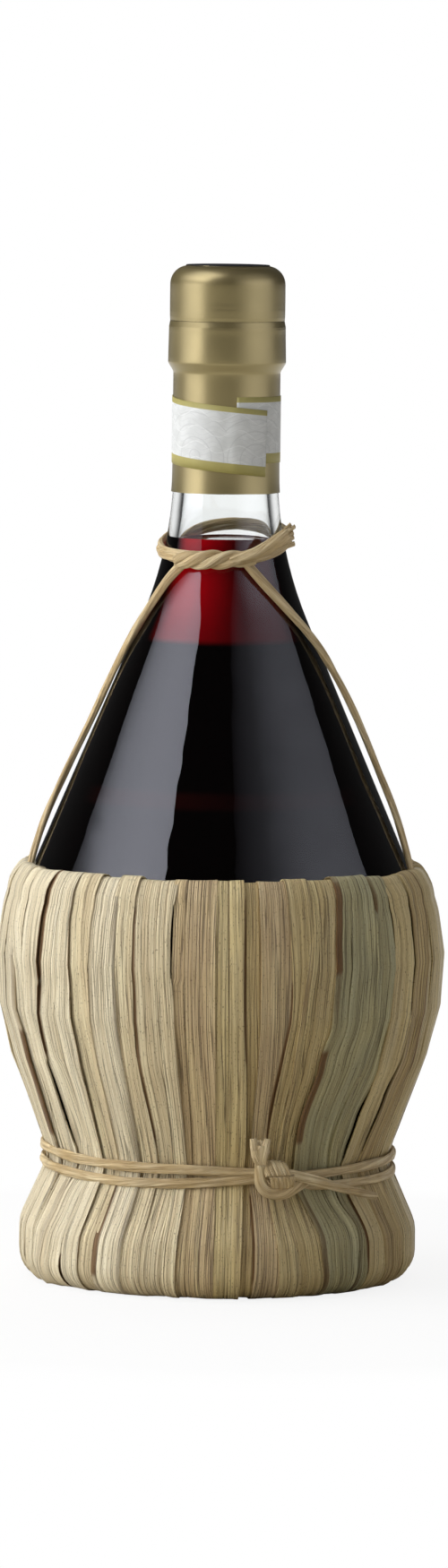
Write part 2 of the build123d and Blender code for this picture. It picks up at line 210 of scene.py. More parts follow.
def lengthOf(tree, place):
    return put(tree, "ShaderNodeVectorMath", {0: place}, operation="LENGTH").outputs["Value"]


def objectPlace(tree):
    return put(tree, "ShaderNodeTexCoord").outputs["Object"]


def mapPlace(tree, name):
    return put(tree, "ShaderNodeUVMap", uv_map=name).outputs[0]


def addBump(tree, shader, height, strength, distance):
    bump = put(tree, "ShaderNodeBump", {"Height": height, "Strength": strength, "Distance": distance})
    tree.links.new(bump.outputs[0], shader.inputs["Normal"])


def blendColours(tree, share, a, b, mode="MIX"):
    mixer = put(tree, "ShaderNodeMix", data_type="RGBA", blend_type=mode, clamp_factor=True)
    for socket, value in ((mixer.inputs[0], share), (mixer.inputs[6], a), (mixer.inputs[7], b)):
        if isinstance(value, bpy.types.NodeSocket):
            tree.links.new(value, socket)
        else:
            socket.default_value = value
    return mixer.outputs[2]


def layered(tree, colour, *layers):  # each layer is its share and its colour
    for share, tint in layers:
        colour = blendColours(tree, share, colour, tint)
    return colour


def startMaterial(name):
    material = bpy.data.materials.new(name)
    material.use_nodes = True
    tree = material.node_tree
    tree.nodes.clear()
    shader = put(tree, "ShaderNodeBsdfPrincipled")
    end = put(tree, "ShaderNodeOutputMaterial", {"Surface": shader.outputs[0]})
    return material, tree, shader, end


def startGroup(name, inputs, outputs):
    group = bpy.data.node_groups.new(name, "ShaderNodeTree")
    for socketName, kind, value in inputs:
        socket = group.interface.new_socket(name=socketName, in_out="INPUT", socket_type=kind)
        if value is not None:
            socket.default_value = value
    for socketName, kind in outputs:
        group.interface.new_socket(name=socketName, in_out="OUTPUT", socket_type=kind)
    return group, put(group, "NodeGroupInput").outputs, put(group, "NodeGroupOutput").inputs


def useGroup(tree, group, inputs):
    return put(tree, "ShaderNodeGroup", inputs, node_tree=group).outputs


# Fibres that run along a blade or a cord: how fine across and along, detail of the noise, and its levels kept
fibreKinds = {
    "Ribs": (1.0, 1.0, 3.0, (0.37, 0.60)), "Streaks": (0.16, 0.5, 3.0, (0.34, 0.66)),
    "Blotches": (0.05, 1.3, 2.0, (0.34, 0.66)), "Specks": (1.4, 40.0, 0.0, (0.71, 0.78)),
    "Threads": (0.3, 0.3, 2.0, (0.028, 0.004)),
}


def makeFibreGroup():
    group, given, out = startGroup(
        "alongFibres",
        [("Place", "NodeSocketVector", None), ("Ribs per mm", "NodeSocketFloat", 2.2),
         ("Stretch", "NodeSocketFloat", 0.03), ("Seed", "NodeSocketFloat", 0.0)],
        [(kind, "NodeSocketFloat") for kind in fibreKinds])
    apart = axes(group, given["Place"])
    across = times(group, apart[0], given["Ribs per mm"])
    along = times(group, apart[1], given["Ribs per mm"], given["Stretch"])
    for kind, (acrossShare, alongShare, detail, levels) in fibreKinds.items():
        place = vectorOf(group, times(group, across, acrossShare), times(group, along, alongShare),
                         given["Seed"])
        value = noiseAt(group, place, 1.0, detail)
        if kind == "Threads":  # long thin cracks, where the noise passes its middle
            value = calc(group, "ABSOLUTE", calc(group, "SUBTRACT", value, 0.5))
        group.links.new(between(group, value, *levels), out[kind])
    return group


fibreGroup = makeFibreGroup()


def fibreMasks(tree, look, seed):
    return useGroup(tree, fibreGroup, {"Place": mapPlace(tree, "fibres"), "Ribs per mm": look["ribsPerMm"],
                                       "Stretch": look["stretch"], "Seed": seed})


# Straw tones: colours of the leaf, of its streaks and of its blotches
strawTones = {
    "cream": {"leaf": (0.93, 0.84, 0.61, 1), "streak": (0.64, 0.53, 0.34, 1),
              "blotch": (0.84, 0.77, 0.58, 1)},
    "pale": {"leaf": (0.88, 0.78, 0.51, 1), "streak": (0.56, 0.43, 0.25, 1), "blotch": (0.77, 0.68, 0.46, 1)},
    "straw": {"leaf": (0.78, 0.64, 0.32, 1), "streak": (0.40, 0.28, 0.12, 1),
              "blotch": (0.62, 0.51, 0.28, 1)},
    "tan": {"leaf": (0.69, 0.54, 0.26, 1), "streak": (0.31, 0.20, 0.08, 1), "blotch": (0.56, 0.43, 0.21, 1)},
    "rosy": {"leaf": (0.76, 0.61, 0.34, 1), "streak": (0.42, 0.29, 0.15, 1), "blotch": (0.60, 0.46, 0.27, 1)},
    "olive": {"leaf": (0.58, 0.49, 0.24, 1), "streak": (0.29, 0.225, 0.10, 1),
              "blotch": (0.44, 0.39, 0.21, 1)},
    "green": {"leaf": (0.59, 0.54, 0.30, 1), "streak": (0.31, 0.26, 0.13, 1),
              "blotch": (0.46, 0.45, 0.285, 1)},
}
strawLook = {"ribsPerMm": 2.6, "stretch": 0.013, "streakShare": 0.5, "blotchShare": 0.8, "ribDark": 0.45,
             "threadDark": 0.75, "threadShade": 0.42, "edgeShadeShare": 0.92, "speckShare": 0.5,
             "edgeDark": (0.14, 0.062, 0.014, 1), "speckDark": (0.10, 0.055, 0.025, 1), "roughness": 0.62,
             "roughnessSpread": 0.1, "bump": 0.8, "bumpDepth": 0.0003, "specular": 0.3}


def makeStrawMaterial(tone, seed):
    leaf, streak, blotch = (strawTones[tone][part] for part in ("leaf", "streak", "blotch"))
    thread = tuple(c * strawLook["threadShade"] for c in streak[:3]) + (1,)
    material, tree, shader, end = startMaterial("straw " + tone)
    fibres = fibreMasks(tree, strawLook, seed)
    # the across map holds painted shade along blade borders and in gaps where a blade lies under another
    edge = axes(tree, mapPlace(tree, "across"))[0]
    colour = layered(
        tree, leaf,
        (times(tree, fibres["Blotches"], strawLook["blotchShare"]), blotch),
        (times(tree, fibres["Streaks"], strawLook["streakShare"]), streak),
        (times(tree, calc(tree, "SUBTRACT", 1.0, fibres["Ribs"]), strawLook["ribDark"]), streak),
        (times(tree, fibres["Threads"], strawLook["threadDark"]), thread),
        # painted shade, in the edge colour
        (between(tree, edge, 0.0, 1.0, 0.0, strawLook["edgeShadeShare"]), strawLook["edgeDark"]),
        (times(tree, fibres["Specks"], strawLook["speckShare"]), strawLook["speckDark"]))
    tree.links.new(colour, shader.inputs["Base Color"])
    middle, spread = strawLook["roughness"], strawLook["roughnessSpread"]
    tree.links.new(between(tree, fibres["Streaks"], 0, 1, middle - spread, middle + spread),
                   shader.inputs["Roughness"])
    addBump(tree, shader, calc(tree, "SUBTRACT", fibres["Ribs"], fibres["Threads"]),
            strawLook["bump"], strawLook["bumpDepth"])
    shader.inputs["Specular IOR Level"].default_value = strawLook["specular"]
    return material


strawMaterials = {tone: makeStrawMaterial(tone, n * 3.7) for n, tone in enumerate(strawTones)}

raffiaLook = {"light": (0.90, 0.76, 0.48, 1), "dark": (0.42, 0.28, 0.12, 1), "blotch": (0.74, 0.54, 0.25, 1),
              "ribsPerMm": 3.4, "stretch": 0.03, "seed": 21.0, "blotchShare": 0.6, "streakShare": 0.6,
              "ribDark": 0.22, "threadDark": 0.7, "hollowShade": 0.6, "roughness": (0.35, 0.6), "bump": 0.9,
              "bumpDepth": 0.0002, "specular": 0.45}


def makeRaffiaMaterial():
    material, tree, shader, end = startMaterial("raffia")
    fibres = fibreMasks(tree, raffiaLook, raffiaLook["seed"])
    # the across map holds painted shade: in the valleys between strands, and toward the edges of ribbons
    hollow = axes(tree, mapPlace(tree, "across"))[0]
    dark = raffiaLook["dark"]
    colour = layered(
        tree, raffiaLook["light"],
        (times(tree, fibres["Blotches"], raffiaLook["blotchShare"]), raffiaLook["blotch"]),
        (times(tree, fibres["Streaks"], raffiaLook["streakShare"]), dark),
        (times(tree, calc(tree, "SUBTRACT", 1.0, fibres["Ribs"]), raffiaLook["ribDark"]), dark),
        (times(tree, fibres["Threads"], raffiaLook["threadDark"]), dark),
        (times(tree, hollow, raffiaLook["hollowShade"]), dark))
    tree.links.new(colour, shader.inputs["Base Color"])
    tree.links.new(between(tree, fibres["Ribs"], 0, 1, *raffiaLook["roughness"]), shader.inputs["Roughness"])
    addBump(tree, shader, fibres["Ribs"], raffiaLook["bump"], raffiaLook["bumpDepth"])
    shader.inputs["Specular IOR Level"].default_value = raffiaLook["specular"]
    return material


raffiaMaterial = makeRaffiaMaterial()
print("materials for straw and raffia made")


# Camera: a long lens, a little above the bottle and looking down
view = {"distance": 2.33, "pitch": 4.8, "aim": (-0.00175, 0.0, 0.1288), "lens": 205.4, "roll": -0.65}
camera = bpy.data.objects.new("camera", bpy.data.cameras.new("camera"))
bpy.context.scene.collection.objects.link(camera)
bpy.context.scene.camera = camera
pitch = math.radians(view["pitch"])
away = Vector((0, -math.cos(pitch), math.sin(pitch)))
camera.location = Vector(view["aim"]) + away * view["distance"]
camera.rotation_euler = (math.pi / 2 - pitch, math.radians(view["roll"]), 0)
camera.data.lens = view["lens"]
camera.data.sensor_width = 36
camera.data.clip_end = 50


# Light: a tall soft box on the left, a dim one on the right and a fill. Shiny pieces mirror two graded cards
# instead of them
lights = {
    "left box": {"azimuth": -77, "distance": 1.2, "height": 0.62, "size": (1.56, 1.7), "glow": 3.1},
    "right box": {"azimuth": 62, "distance": 1.5, "height": 0.25, "size": (1.5, 1.0), "glow": 0.6},
    "front fill": {"azimuth": -18, "distance": 1.6, "height": 0.9, "size": (1.4, 1.0), "glow": 0.75},
}


def placeAround(holder, azimuth, distance, height):
    turn = math.radians(azimuth)
    holder.location = Vector((math.sin(turn), -math.cos(turn), 0)) * distance + Vector((0, 0, height))
    holder.rotation_euler = (Vector((0, 0, 0.13)) - holder.location).to_track_quat("-Z", "Y").to_euler()


for name, values in lights.items():
    lamp = bpy.data.lights.new(name, "AREA")
    lamp.shape = "RECTANGLE"
    lamp.size, lamp.size_y = values["size"]
    lamp.energy = values["glow"] * math.pi * lamp.size * lamp.size_y
    holder = bpy.data.objects.new(name, lamp)
    bpy.context.scene.collection.objects.link(holder)
    placeAround(holder, values["azimuth"], values["distance"], values["height"])
    holder.visible_camera = False
    holder.visible_glossy = False
    holder.visible_transmission = False

# across: glow by share of the card's width, from the side nearest the camera
# upper: share of the glow that is left at the top
cards = {
    "left card": {"azimuth": -77, "distance": 1.2, "height": 0.9, "size": (1.62, 2.6), "nearSide": 1,
                  "upper": 0.8, "dip": 0.75,
                  "across": ((0.0, 4.9), (0.25, 4.8), (0.5, 4.0), (0.75, 2.7), (1.0, 0.8))},
    "right card": {"azimuth": 62, "distance": 1.5, "height": 0.9, "size": (2.8, 2.6), "nearSide": -1,
                   "upper": 0.32, "dip": 0.0,
                   "across": ((0.0, 0.2), (0.22, 1.1), (0.42, 1.8), (0.7, 1.5), (1.0, 0.9))},
}
# fade: shares of half the height between which a card dims
# dips: the two edges of a dim band, as shares of half the height
cardLook = {"colour": (0.93, 0.95, 1.08, 1), "fade": (-0.1, 0.4), "dipBelow": (-0.62, -0.5),
            "dipAbove": (-0.12, -0.25)}


def makeCardMaterial(name, values, halfWide, halfTall):
    material = bpy.data.materials.new(name)
    material.use_nodes = True
    tree = material.node_tree
    tree.nodes.clear()
    place = axes(tree, objectPlace(tree))
    near = halfWide * values["nearSide"]
    share = between(tree, place[0], near, -near)
    share.node.interpolation_type = "LINEAR"
    ramp = put(tree, "ShaderNodeFloatCurve", {"Value": share})
    top = max(glow for x, glow in values["across"])
    points = ramp.mapping.curves[0].points
    last = len(values["across"]) - 1
    for n, (x, glow) in enumerate(values["across"]):
        if 0 < n < last:
            points.new(x, glow / top)
        else:
            points[0 if n == 0 else len(points) - 1].location = (x, glow / top)
    ramp.mapping.update()
    low, high = cardLook["fade"]
    fade = between(tree, place[1], low * halfTall, high * halfTall, 1.0, values["upper"])
    dip = times(tree, between(tree, place[1], *cardLook["dipBelow"]),
                between(tree, place[1], *cardLook["dipAbove"]))
    fade = times(tree, fade, calc(tree, "SUBTRACT", 1.0, times(tree, dip, values["dip"])))
    glow = put(tree, "ShaderNodeEmission", {"Color": cardLook["colour"],
                                            "Strength": times(tree, ramp.outputs[0], top, fade)})
    put(tree, "ShaderNodeOutputMaterial", {"Surface": glow.outputs[0]})
    return material


for name, values in cards.items():
    halfWide, halfTall = values["size"][0] / 2, values["size"][1] / 2
    corners = [(-halfWide, -halfTall, 0), (halfWide, -halfTall, 0),
               (halfWide, halfTall, 0), (-halfWide, halfTall, 0)]
    card = addPiece(name, corners, [(0, 1, 2, 3)], makeCardMaterial(name, values, halfWide, halfTall))
    placeAround(card, values["azimuth"], values["distance"], values["height"])
    card.visible_camera = False
    card.visible_diffuse = False
    card.visible_transmission = False
    card.visible_shadow = False

# The surround is white to the eye, white behind the glass and dark to its sides, and dim for mirrors
surround = {"behind": 1.0, "front": 0.03, "above": 0.9, "backFrom": 0.05, "backTo": 0.75, "topFrom": 0.75,
            "through": (0.62, 0.97), "throughSide": 0.03, "mirror": 0.02, "mirrorBehind": 0.02}
world = bpy.data.worlds.new("surround")
bpy.context.scene.world = world
world.use_nodes = True
tree = world.node_tree
tree.nodes.clear()
direction = axes(tree, put(tree, "ShaderNodeTexCoord").outputs["Generated"])
behind = between(tree, direction[1], surround["backFrom"], surround["backTo"])
level = calc(tree, "ADD", times(tree, behind, surround["behind"]), surround["front"])
above = between(tree, direction[2], surround["topFrom"], 1.0)
level = calc(tree, "ADD", level, times(tree, above, surround["above"]))
mirror = calc(tree, "ADD", times(tree, behind, surround["mirrorBehind"]), surround["mirror"])
through = between(tree, direction[1], *surround["through"], surround["throughSide"], 1.0)
ray = put(tree, "ShaderNodeLightPath").outputs
for kind, value in (("Is Glossy Ray", mirror), ("Is Transmission Ray", through), ("Is Camera Ray", 1.0)):
    mixer = put(tree, "ShaderNodeMix", {0: ray[kind], 2: level, 3: value}, data_type="FLOAT")
    level = mixer.outputs[0]
plain = put(tree, "ShaderNodeBackground", {"Color": (1, 1, 1, 1), "Strength": level})
put(tree, "ShaderNodeOutputWorld", {"Surface": plain.outputs[0]})
bpy.context.scene.view_settings.view_transform = "Standard"

# Floor: pale, its shadow soft, fading into the white surround
floorLook = {"half": 4.0, "colour": (0.50, 0.46, 0.38, 1), "seenColour": (0.9, 0.9, 0.9, 1),
             "shadowShare": 0.14, "fadeFrom": 0.05, "fadeTo": 0.2}
material, tree, shader, end = startMaterial("pale floor")
shader.inputs["Roughness"].default_value = 0.9
shader.inputs["Specular IOR Level"].default_value = 0.1
glow = put(tree, "ShaderNodeEmission", {"Color": (1, 1, 1, 1), "Strength": 1.0})
ray = put(tree, "ShaderNodeLightPath").outputs
tree.links.new(blendColours(tree, ray["Is Camera Ray"], floorLook["colour"], floorLook["seenColour"]),
               shader.inputs["Base Color"])
far = between(tree, lengthOf(tree, objectPlace(tree)), floorLook["fadeFrom"], floorLook["fadeTo"])
share = calc(tree, "MAXIMUM", far, 1 - floorLook["shadowShare"])
seen = calc(tree, "MAXIMUM", ray["Is Camera Ray"], ray["Is Transmission Ray"])
seen = calc(tree, "MAXIMUM", seen, times(tree, ray["Is Glossy Ray"], far))
mixed = put(tree, "ShaderNodeMixShader",
            {0: times(tree, share, seen), 1: shader.outputs[0], 2: glow.outputs[0]})
tree.links.new(mixed.outputs[0], end.inputs["Surface"])
half = floorLook["half"]
corners = [(-half, -half, 0), (half, -half, 0), (half, half, 0), (-half, half, 0)]
floor = addPiece("floor", corners, [(0, 1, 2, 3)], material)
print("camera, light and floor set")


# Glass flask: clear, blown, its wall and round bottom as in the part
flask = {
    "mouth": 263.0, "boreRadius": 9.25, "lipRadius": 14.3, "lipRound": 4.2, "groove": 249.4,
    "ringRadius": 14.9, "ringBottom": 238.7, "neckRadius": 13.5, "neckSweep": 102.0, "coneAngle": 23.2,
    "bulgeRadius": 54.6, "bulgeHeight": 81.0, "bulgeCurve": 67.0, "underAngle": 25.0, "bottom": 31.0,
    "bottomCurve": 30.0, "kickRadius": 15.0, "kickHeight": 3.0, "kickRound": 8.0, "wall": 2.9,
    "boreDepth": 46.9, "boreFoot": 2.4, "underRing": 2.1, "tint": (0.975, 0.99, 0.985, 1),
    "shadowTint": (0.93, 0.95, 0.94, 1), "ior": 1.5, "waveScale": 42.0, "waveStrength": 0.12,
    "waveDepth": 0.002,
}


def bodyCorners():  # outside, from the neck down to the middle of the bottom
    cone, under = math.radians(flask["coneAngle"]), math.radians(flask["underAngle"])
    curve, middle = flask["bulgeCurve"], flask["bulgeHeight"]
    centre = flask["bulgeRadius"] - curve
    coneTouch = (centre + curve * math.cos(cone), middle + curve * math.sin(cone))
    underTouch = (centre + curve * math.cos(under), middle - curve * math.sin(under))
    height = (coneTouch[0] - underTouch[0] + math.tan(cone) * coneTouch[1] + math.tan(under) * underTouch[1])
    height /= math.tan(cone) + math.tan(under)
    radius = underTouch[0] + math.tan(under) * (height - underTouch[1])
    neckCorner = coneTouch[1] + (coneTouch[0] - flask["neckRadius"]) / math.tan(cone)
    bottomRadius = underTouch[0] - math.tan(under) * (underTouch[1] - flask["bottom"])
    return [(flask["neckRadius"], neckCorner, flask["neckSweep"]), (radius, height, curve),
            (bottomRadius, flask["bottom"], flask["bottomCurve"]),
            (flask["kickRadius"], flask["bottom"], flask["kickRound"])]


def movedIn(points, distance):  # a fine row of points moved to its right-hand side
    moved = []
    for n, point in enumerate(points):
        way = (points[min(n + 1, len(points) - 1)] - points[max(n - 1, 0)]).normalized()
        moved.append(point + Vector((way.y, -way.x)) * distance)
    return moved


neckTop = flask["ringBottom"] - flask["underRing"]
bodyEnds = (flask["neckRadius"], neckTop, 0), (0, flask["bottom"] + flask["kickHeight"], 0)
bodyLine = dividedLine(roundedOutline([bodyEnds[0], *bodyCorners(), bodyEnds[1]], 2.5), 3)


def wallLine(distance, top):  # the inside of the glass, under a height
    line = [Vector((max(p.x, 0), p.y)) for p in movedIn(bodyLine, distance) if p.y < top]
    line[-1].x = 0
    return line


insideLine = wallLine(flask["wall"], flask["mouth"] - flask["boreDepth"] - flask["boreFoot"])


def glassRadius(height):  # outer radius of the neck and shoulder, mm
    for a, b in zip(bodyLine, bodyLine[1:]):
        if b.y <= height <= a.y:
            return a.x + (b.x - a.x) * (a.y - height) / (a.y - b.y)
    return flask["neckRadius"]


mouthLine = roundedOutline([
    (flask["neckRadius"], neckTop, 0), (flask["ringRadius"], flask["ringBottom"], 0.5),
    (flask["ringRadius"], flask["groove"] - 1, 0), (flask["lipRadius"] - 0.4, flask["groove"], 0),
    (flask["lipRadius"], flask["groove"] + 1, 0), (flask["lipRadius"], flask["mouth"], flask["lipRound"]),
    (flask["boreRadius"], flask["mouth"], 0.8),
    (flask["boreRadius"], flask["mouth"] - flask["boreDepth"], 0)], 10)
material, tree, shader, end = startMaterial("clear glass")
shader.inputs["Base Color"].default_value = flask["tint"]
shader.inputs["Roughness"].default_value = 0.0
shader.inputs["IOR"].default_value = flask["ior"]
shader.inputs["Transmission Weight"].default_value = 1.0
waves = noiseAt(tree, objectPlace(tree), flask["waveScale"])
addBump(tree, shader, waves, flask["waveStrength"], flask["waveDepth"])
clear = put(tree, "ShaderNodeBsdfTransparent", {"Color": flask["shadowTint"]})
ray = put(tree, "ShaderNodeLightPath").outputs
mixed = put(tree, "ShaderNodeMixShader", {0: ray["Is Shadow Ray"], 1: shader.outputs[0], 2: clear.outputs[0]})
tree.links.new(mixed.outputs[0], end.inputs["Surface"])
glass = lathe("glassFlask", [*reversed(bodyLine), *mouthLine[1:], *insideLine], material, 192, 50)
finishPiece(glass, "bottle", "flask_glass", "glass_flask")

# Wine: painted light: bright red in the narrow neck, where light gets through, and nearly black below
# the wine's colour is painted light: red where light gets through the neck, brighter toward the left and the
# top, a faint lit band lower down, and painted shade toward its edges
wine = {"fill": 193.0, "into": 0.12, "litNeckFrom": 165.6, "litNeckTo": 167.6, "litFrom": 163.0, "litTo": 185.0,
        "litLeast": 0.35, "litSideFrom": 0.3, "litSideTo": -0.62, "litBandBelow": (124.0, 125.8),
        "litBandAbove": (130.0, 128.0), "litBandLeast": 0.35, "edge": (0.13, 0.24), "red": (0.85, 0.003, 0.012, 1),
        "shadedRed": (0.09, 0.002, 0.003, 1), "dark": (0.0022, 0.0010, 0.0011, 1),
        "band": (0.024, 0.0030, 0.0025, 1), "surface": (0.06, 0.003, 0.004, 1)}
material, tree, shader, end = startMaterial("red wine")
place = axes(tree, objectPlace(tree))
height = times(tree, place[2], 1 / mm)
leftness = calc(tree, "DIVIDE", place[0], lengthOf(tree, vectorOf(tree, place[0], place[1])))
# painted light: the wine is brighter on its left, where the lamp stands, and toward the top
litSideShare = between(tree, leftness, wine["litSideFrom"], wine["litSideTo"])
lit = times(tree, litSideShare, between(tree, height, wine["litFrom"], wine["litTo"], wine["litLeast"], 1.0))
# painted light: red above this height, where light gets through the narrow neck
litNeckShare = between(tree, height, wine["litNeckFrom"], wine["litNeckTo"])
# painted light: a faint lit band, stronger toward the lit left side
litBandShare = times(tree, between(tree, height, *wine["litBandBelow"]), between(tree, height, *wine["litBandAbove"]),
                  between(tree, litSideShare, 0, 1, wine["litBandLeast"], 1.0))
# painted shade: the wine darkens toward its edges
facing = put(tree, "ShaderNodeLayerWeight", {"Blend": 0.5}).outputs["Facing"]
colour = layered(tree, wine["dark"], (litBandShare, wine["band"]),
                 (litNeckShare, blendColours(tree, lit, wine["shadedRed"], wine["red"])),
                 (between(tree, facing, *wine["edge"]), wine["dark"]))
tree.links.new(colour, shader.inputs["Base Color"])
shader.inputs["Roughness"].default_value = 0.3
shader.inputs["Specular IOR Level"].default_value = 0.0  # it wets the glass and mirrors nothing there
wineLine = wallLine(flask["wall"] - wine["into"], wine["fill"] - 0.8)
edge = wineLine[0].x
# how far in from the glass, and how far over the fill level
meniscus = [(0.05, 0.1), (0.3, 0.0), (1.2, -0.35), (3.0, -0.5), (edge, -0.5)]
meniscus = [Vector((edge - x, wine["fill"] + y)) for x, y in meniscus]
body = lathe("redWine", [*reversed(wineLine), *meniscus], material, 192, 60)
material, tree, shader, end = startMaterial("wine surface")
shader.inputs["Base Color"].default_value = wine["surface"]
shader.inputs["Roughness"].default_value = 0.03
shader.inputs["IOR"].default_value = 1.34
body.data.materials.append(material)
for face in body.data.polygons:
    face.material_index = int(face.center.z > (wine["fill"] - 0.6) * mm and face.normal.z > 0.4)
finishPiece(body, "bottle", "wine", "wine")
print("glass and wine made")


# Cork, under the capsule
corkLook = {"length": 44.0, "belowMouth": 0.5, "radius": 9.2, "round": 0.7, "light": (0.60, 0.42, 0.25, 1),
            "middle": (0.50, 0.33, 0.18, 1), "dark": (0.24, 0.13, 0.06, 1)}
material, tree, shader, end = startMaterial("cork bark")
place = objectPlace(tree)
grains = put(tree, "ShaderNodeTexVoronoi", {"Vector": place, "Scale": 900.0}).outputs["Distance"]
clouds = noiseAt(tree, place, 220.0, 4.0)
pores = between(tree, noiseAt(tree, place, 420.0), 0.62, 0.7)
colour = layered(tree, corkLook["light"], (between(tree, clouds, 0.3, 0.7), corkLook["middle"]),
                 (times(tree, grains, 0.4), corkLook["dark"]), (times(tree, pores, 0.8), corkLook["dark"]))
tree.links.new(colour, shader.inputs["Base Color"])
shader.inputs["Roughness"].default_value = 0.85
addBump(tree, shader, calc(tree, "SUBTRACT", grains, pores), 0.4, 0.0003)
corkTop = flask["mouth"] - corkLook["belowMouth"]
corkFoot = corkTop - corkLook["length"]
corkLine = roundedOutline([(0, corkFoot, 0), (corkLook["radius"], corkFoot, corkLook["round"]),
                           (corkLook["radius"], corkTop, corkLook["round"]), (0, corkTop, 0)], 20)
stopper = lathe("corkStopper", dividedLine(corkLine, 2), material, 96, 40)
finishPiece(stopper, "cork", "cork_bark", "cork")

# Capsule: satin gold film shrunk on the neck, black on top, with fine lines where it is drawn over the groove
capsule = {"foil": 0.35, "gap": 0.3, "tear": 0.1, "bottom": 205.0, "shoulder": 4.8, "flare": 1.6,
           "waistTaper": 0.08, "skirtGap": 0.05, "gold": (0.28, 0.225, 0.098, 1),
           "goldCloud": (0.235, 0.18, 0.07, 1), "top": (0.012, 0.012, 0.013, 1), "topRadius": 10.9,
           "topStep": 0.25, "roughness": 0.34, "metal": 0.78, "linesFrom": 245.5, "linesTo": 254.5,
           "linesFade": 2.0, "dent": 0.05, "hemWave": 0.12}


def makeCapsuleMaterial():
    material, tree, shader, end = startMaterial("capsule gold")
    place = objectPlace(tree)
    x, y, z = axes(tree, place)
    clouds = noiseAt(tree, place, 60.0, 3.0)
    gold = blendColours(tree, times(tree, clouds, 0.25), capsule["gold"], capsule["goldCloud"])
    tree.links.new(gold, shader.inputs["Base Color"])
    shader.inputs["Metallic"].default_value = capsule["metal"]
    grain = noiseAt(tree, place, 1500.0)
    smooth, dull = capsule["roughness"] - 0.03, capsule["roughness"] + 0.05
    tree.links.new(between(tree, clouds, 0.3, 0.7, smooth, dull), shader.inputs["Roughness"])
    lines = noiseAt(tree, vectorOf(tree, times(tree, x, 12.0), times(tree, y, 12.0), times(tree, z, 900.0)),
                    1.0, 1.0)
    low, high, fade = (capsule[key] * mm for key in ("linesFrom", "linesTo", "linesFade"))
    nearGroove = times(tree, between(tree, z, low, low + fade), between(tree, z, high, high - fade))
    relief = calc(tree, "ADD", times(tree, grain, 0.15), times(tree, lines, nearGroove, 0.8))
    addBump(tree, shader, relief, 0.25, 0.0003)
    shader.inputs["Specular IOR Level"].default_value = 0.2
    shader.inputs["Coat Weight"].default_value = 0.4
    shader.inputs["Coat Roughness"].default_value = 0.35
    return material


def dentFilm(r, azimuth, z):  # shallow unevenness of the shrunk film
    a = math.radians(azimuth)
    return capsule["dent"] * ripple(2 * math.cos(a), 2 * math.sin(a), z * 0.12), 0


def frayHem(r, azimuth, z):  # the cut hem isn't quite level
    out, up = dentFilm(r, azimuth, z)
    if z < capsule["bottom"] + 0.1:
        up = capsule["hemWave"] * ripple(azimuth * 0.03, 4.0)
    return out, up


capsuleMaterial = makeCapsuleMaterial()
outer = flask["lipRadius"] + capsule["gap"] + capsule["foil"]
top = flask["mouth"] + capsule["gap"] + capsule["foil"]
raised = top + capsule["topStep"]
capLine = dividedLine(roundedOutline([
    (outer - capsule["waistTaper"], flask["groove"] + capsule["tear"] / 2, 0),
    (outer, flask["groove"] + capsule["flare"], 0), (outer, top, capsule["shoulder"]),
    (capsule["topRadius"], top, 0.1), (capsule["topRadius"] - 0.1, raised, 0.2),
    (0, raised, 0)], 9), 1.5)
capInside = []
for p in reversed(capLine):
    r = p.x - capsule["foil"] if p.y < top - 3 else p.x * 0.976
    capInside.append(Vector((max(r, 0), min(p.y, top - capsule["foil"]))))
capInside[0].x = 0
cap = lathe("capsuleCap", [*capLine, *capInside], capsuleMaterial, 160, 35, dentFilm)
material, tree, shader, end = startMaterial("capsule black top")
shader.inputs["Base Color"].default_value = capsule["top"]
shader.inputs["Roughness"].default_value = 0.6
shader.inputs["Specular IOR Level"].default_value = 0.15
cap.data.materials.append(material)
for face in cap.data.polygons:
    onTop = face.center.z > (top - 0.02) * mm and face.center.xy.length < (capsule["topRadius"] - 0.02) * mm
    face.material_index = int(onTop)
finishPiece(cap, "capsule_cap", "capsule_film", "capsule_cap")

stand = capsule["foil"] + capsule["skirtGap"]
ringOut, neckOut = flask["ringRadius"] + stand, flask["neckRadius"] + stand
skirtLine = dividedLine(roundedOutline([
    (outer - capsule["waistTaper"], flask["groove"] - capsule["tear"] / 2, 0),
    (outer, flask["groove"] - 0.5, 0.6),
    (ringOut - 0.15, flask["groove"] - 1.5, 0.6), (ringOut, flask["ringBottom"] - 0.2, 1.0),
    (neckOut, neckTop - 0.4, 1.6), (neckOut, 216.0, 0)], 12), 1.5)
skirtLine += [Vector((glassRadius(z) + stand, z)) for z in (214, 212, 210, 208, 206.5, capsule["bottom"])]
skirtInside = [Vector((p.x - capsule["foil"], p.y)) for p in skirtLine]
skirt = lathe("capsuleSkirt", [skirtLine[0], *skirtInside, *reversed(skirtLine)],
              capsuleMaterial, 160, 35, frayHem)
finishPiece(skirt, "bottle", "capsule_film", "capsule_skirt")
print("cork and capsule made")

# Seal strip: paper with two ochre borders and pale waves, its upper end over the lower one
strip = {"radius": 13.97, "paper": 0.14, "width": 17.2, "top": 230.1, "drop": 3.5, "underEnd": 11.0,
         "overEnd": 47.0, "turnBack": -100.0, "lift": 0.34, "liftOver": (12, 1), "cutLean": -2.0,
         "unevenness": 0.02, "topBorder": 1.4, "bottomBorder": 2.6, "steps": 150, "rows": 9}
# lines: how far apart, how thick a share of that, and their colour
paperLook = {"light": (0.70, 0.72, 0.73, 1), "dark": (0.62, 0.64, 0.645, 1), "ochre": (0.33, 0.29, 0.08, 1),
             "ochreLight": (0.42, 0.37, 0.12, 1), "ringsEvery": 17.0, "ringHeight": 3.5, "lineShare": 0.55,
             "rings": (3.2, 0.07, (0.52, 0.54, 0.55, 1)), "wideWaves": (4.1, 0.05, (0.80, 0.82, 0.83, 1)),
             "closeWaves": (1.3, 0.09, (0.56, 0.58, 0.60, 1))}


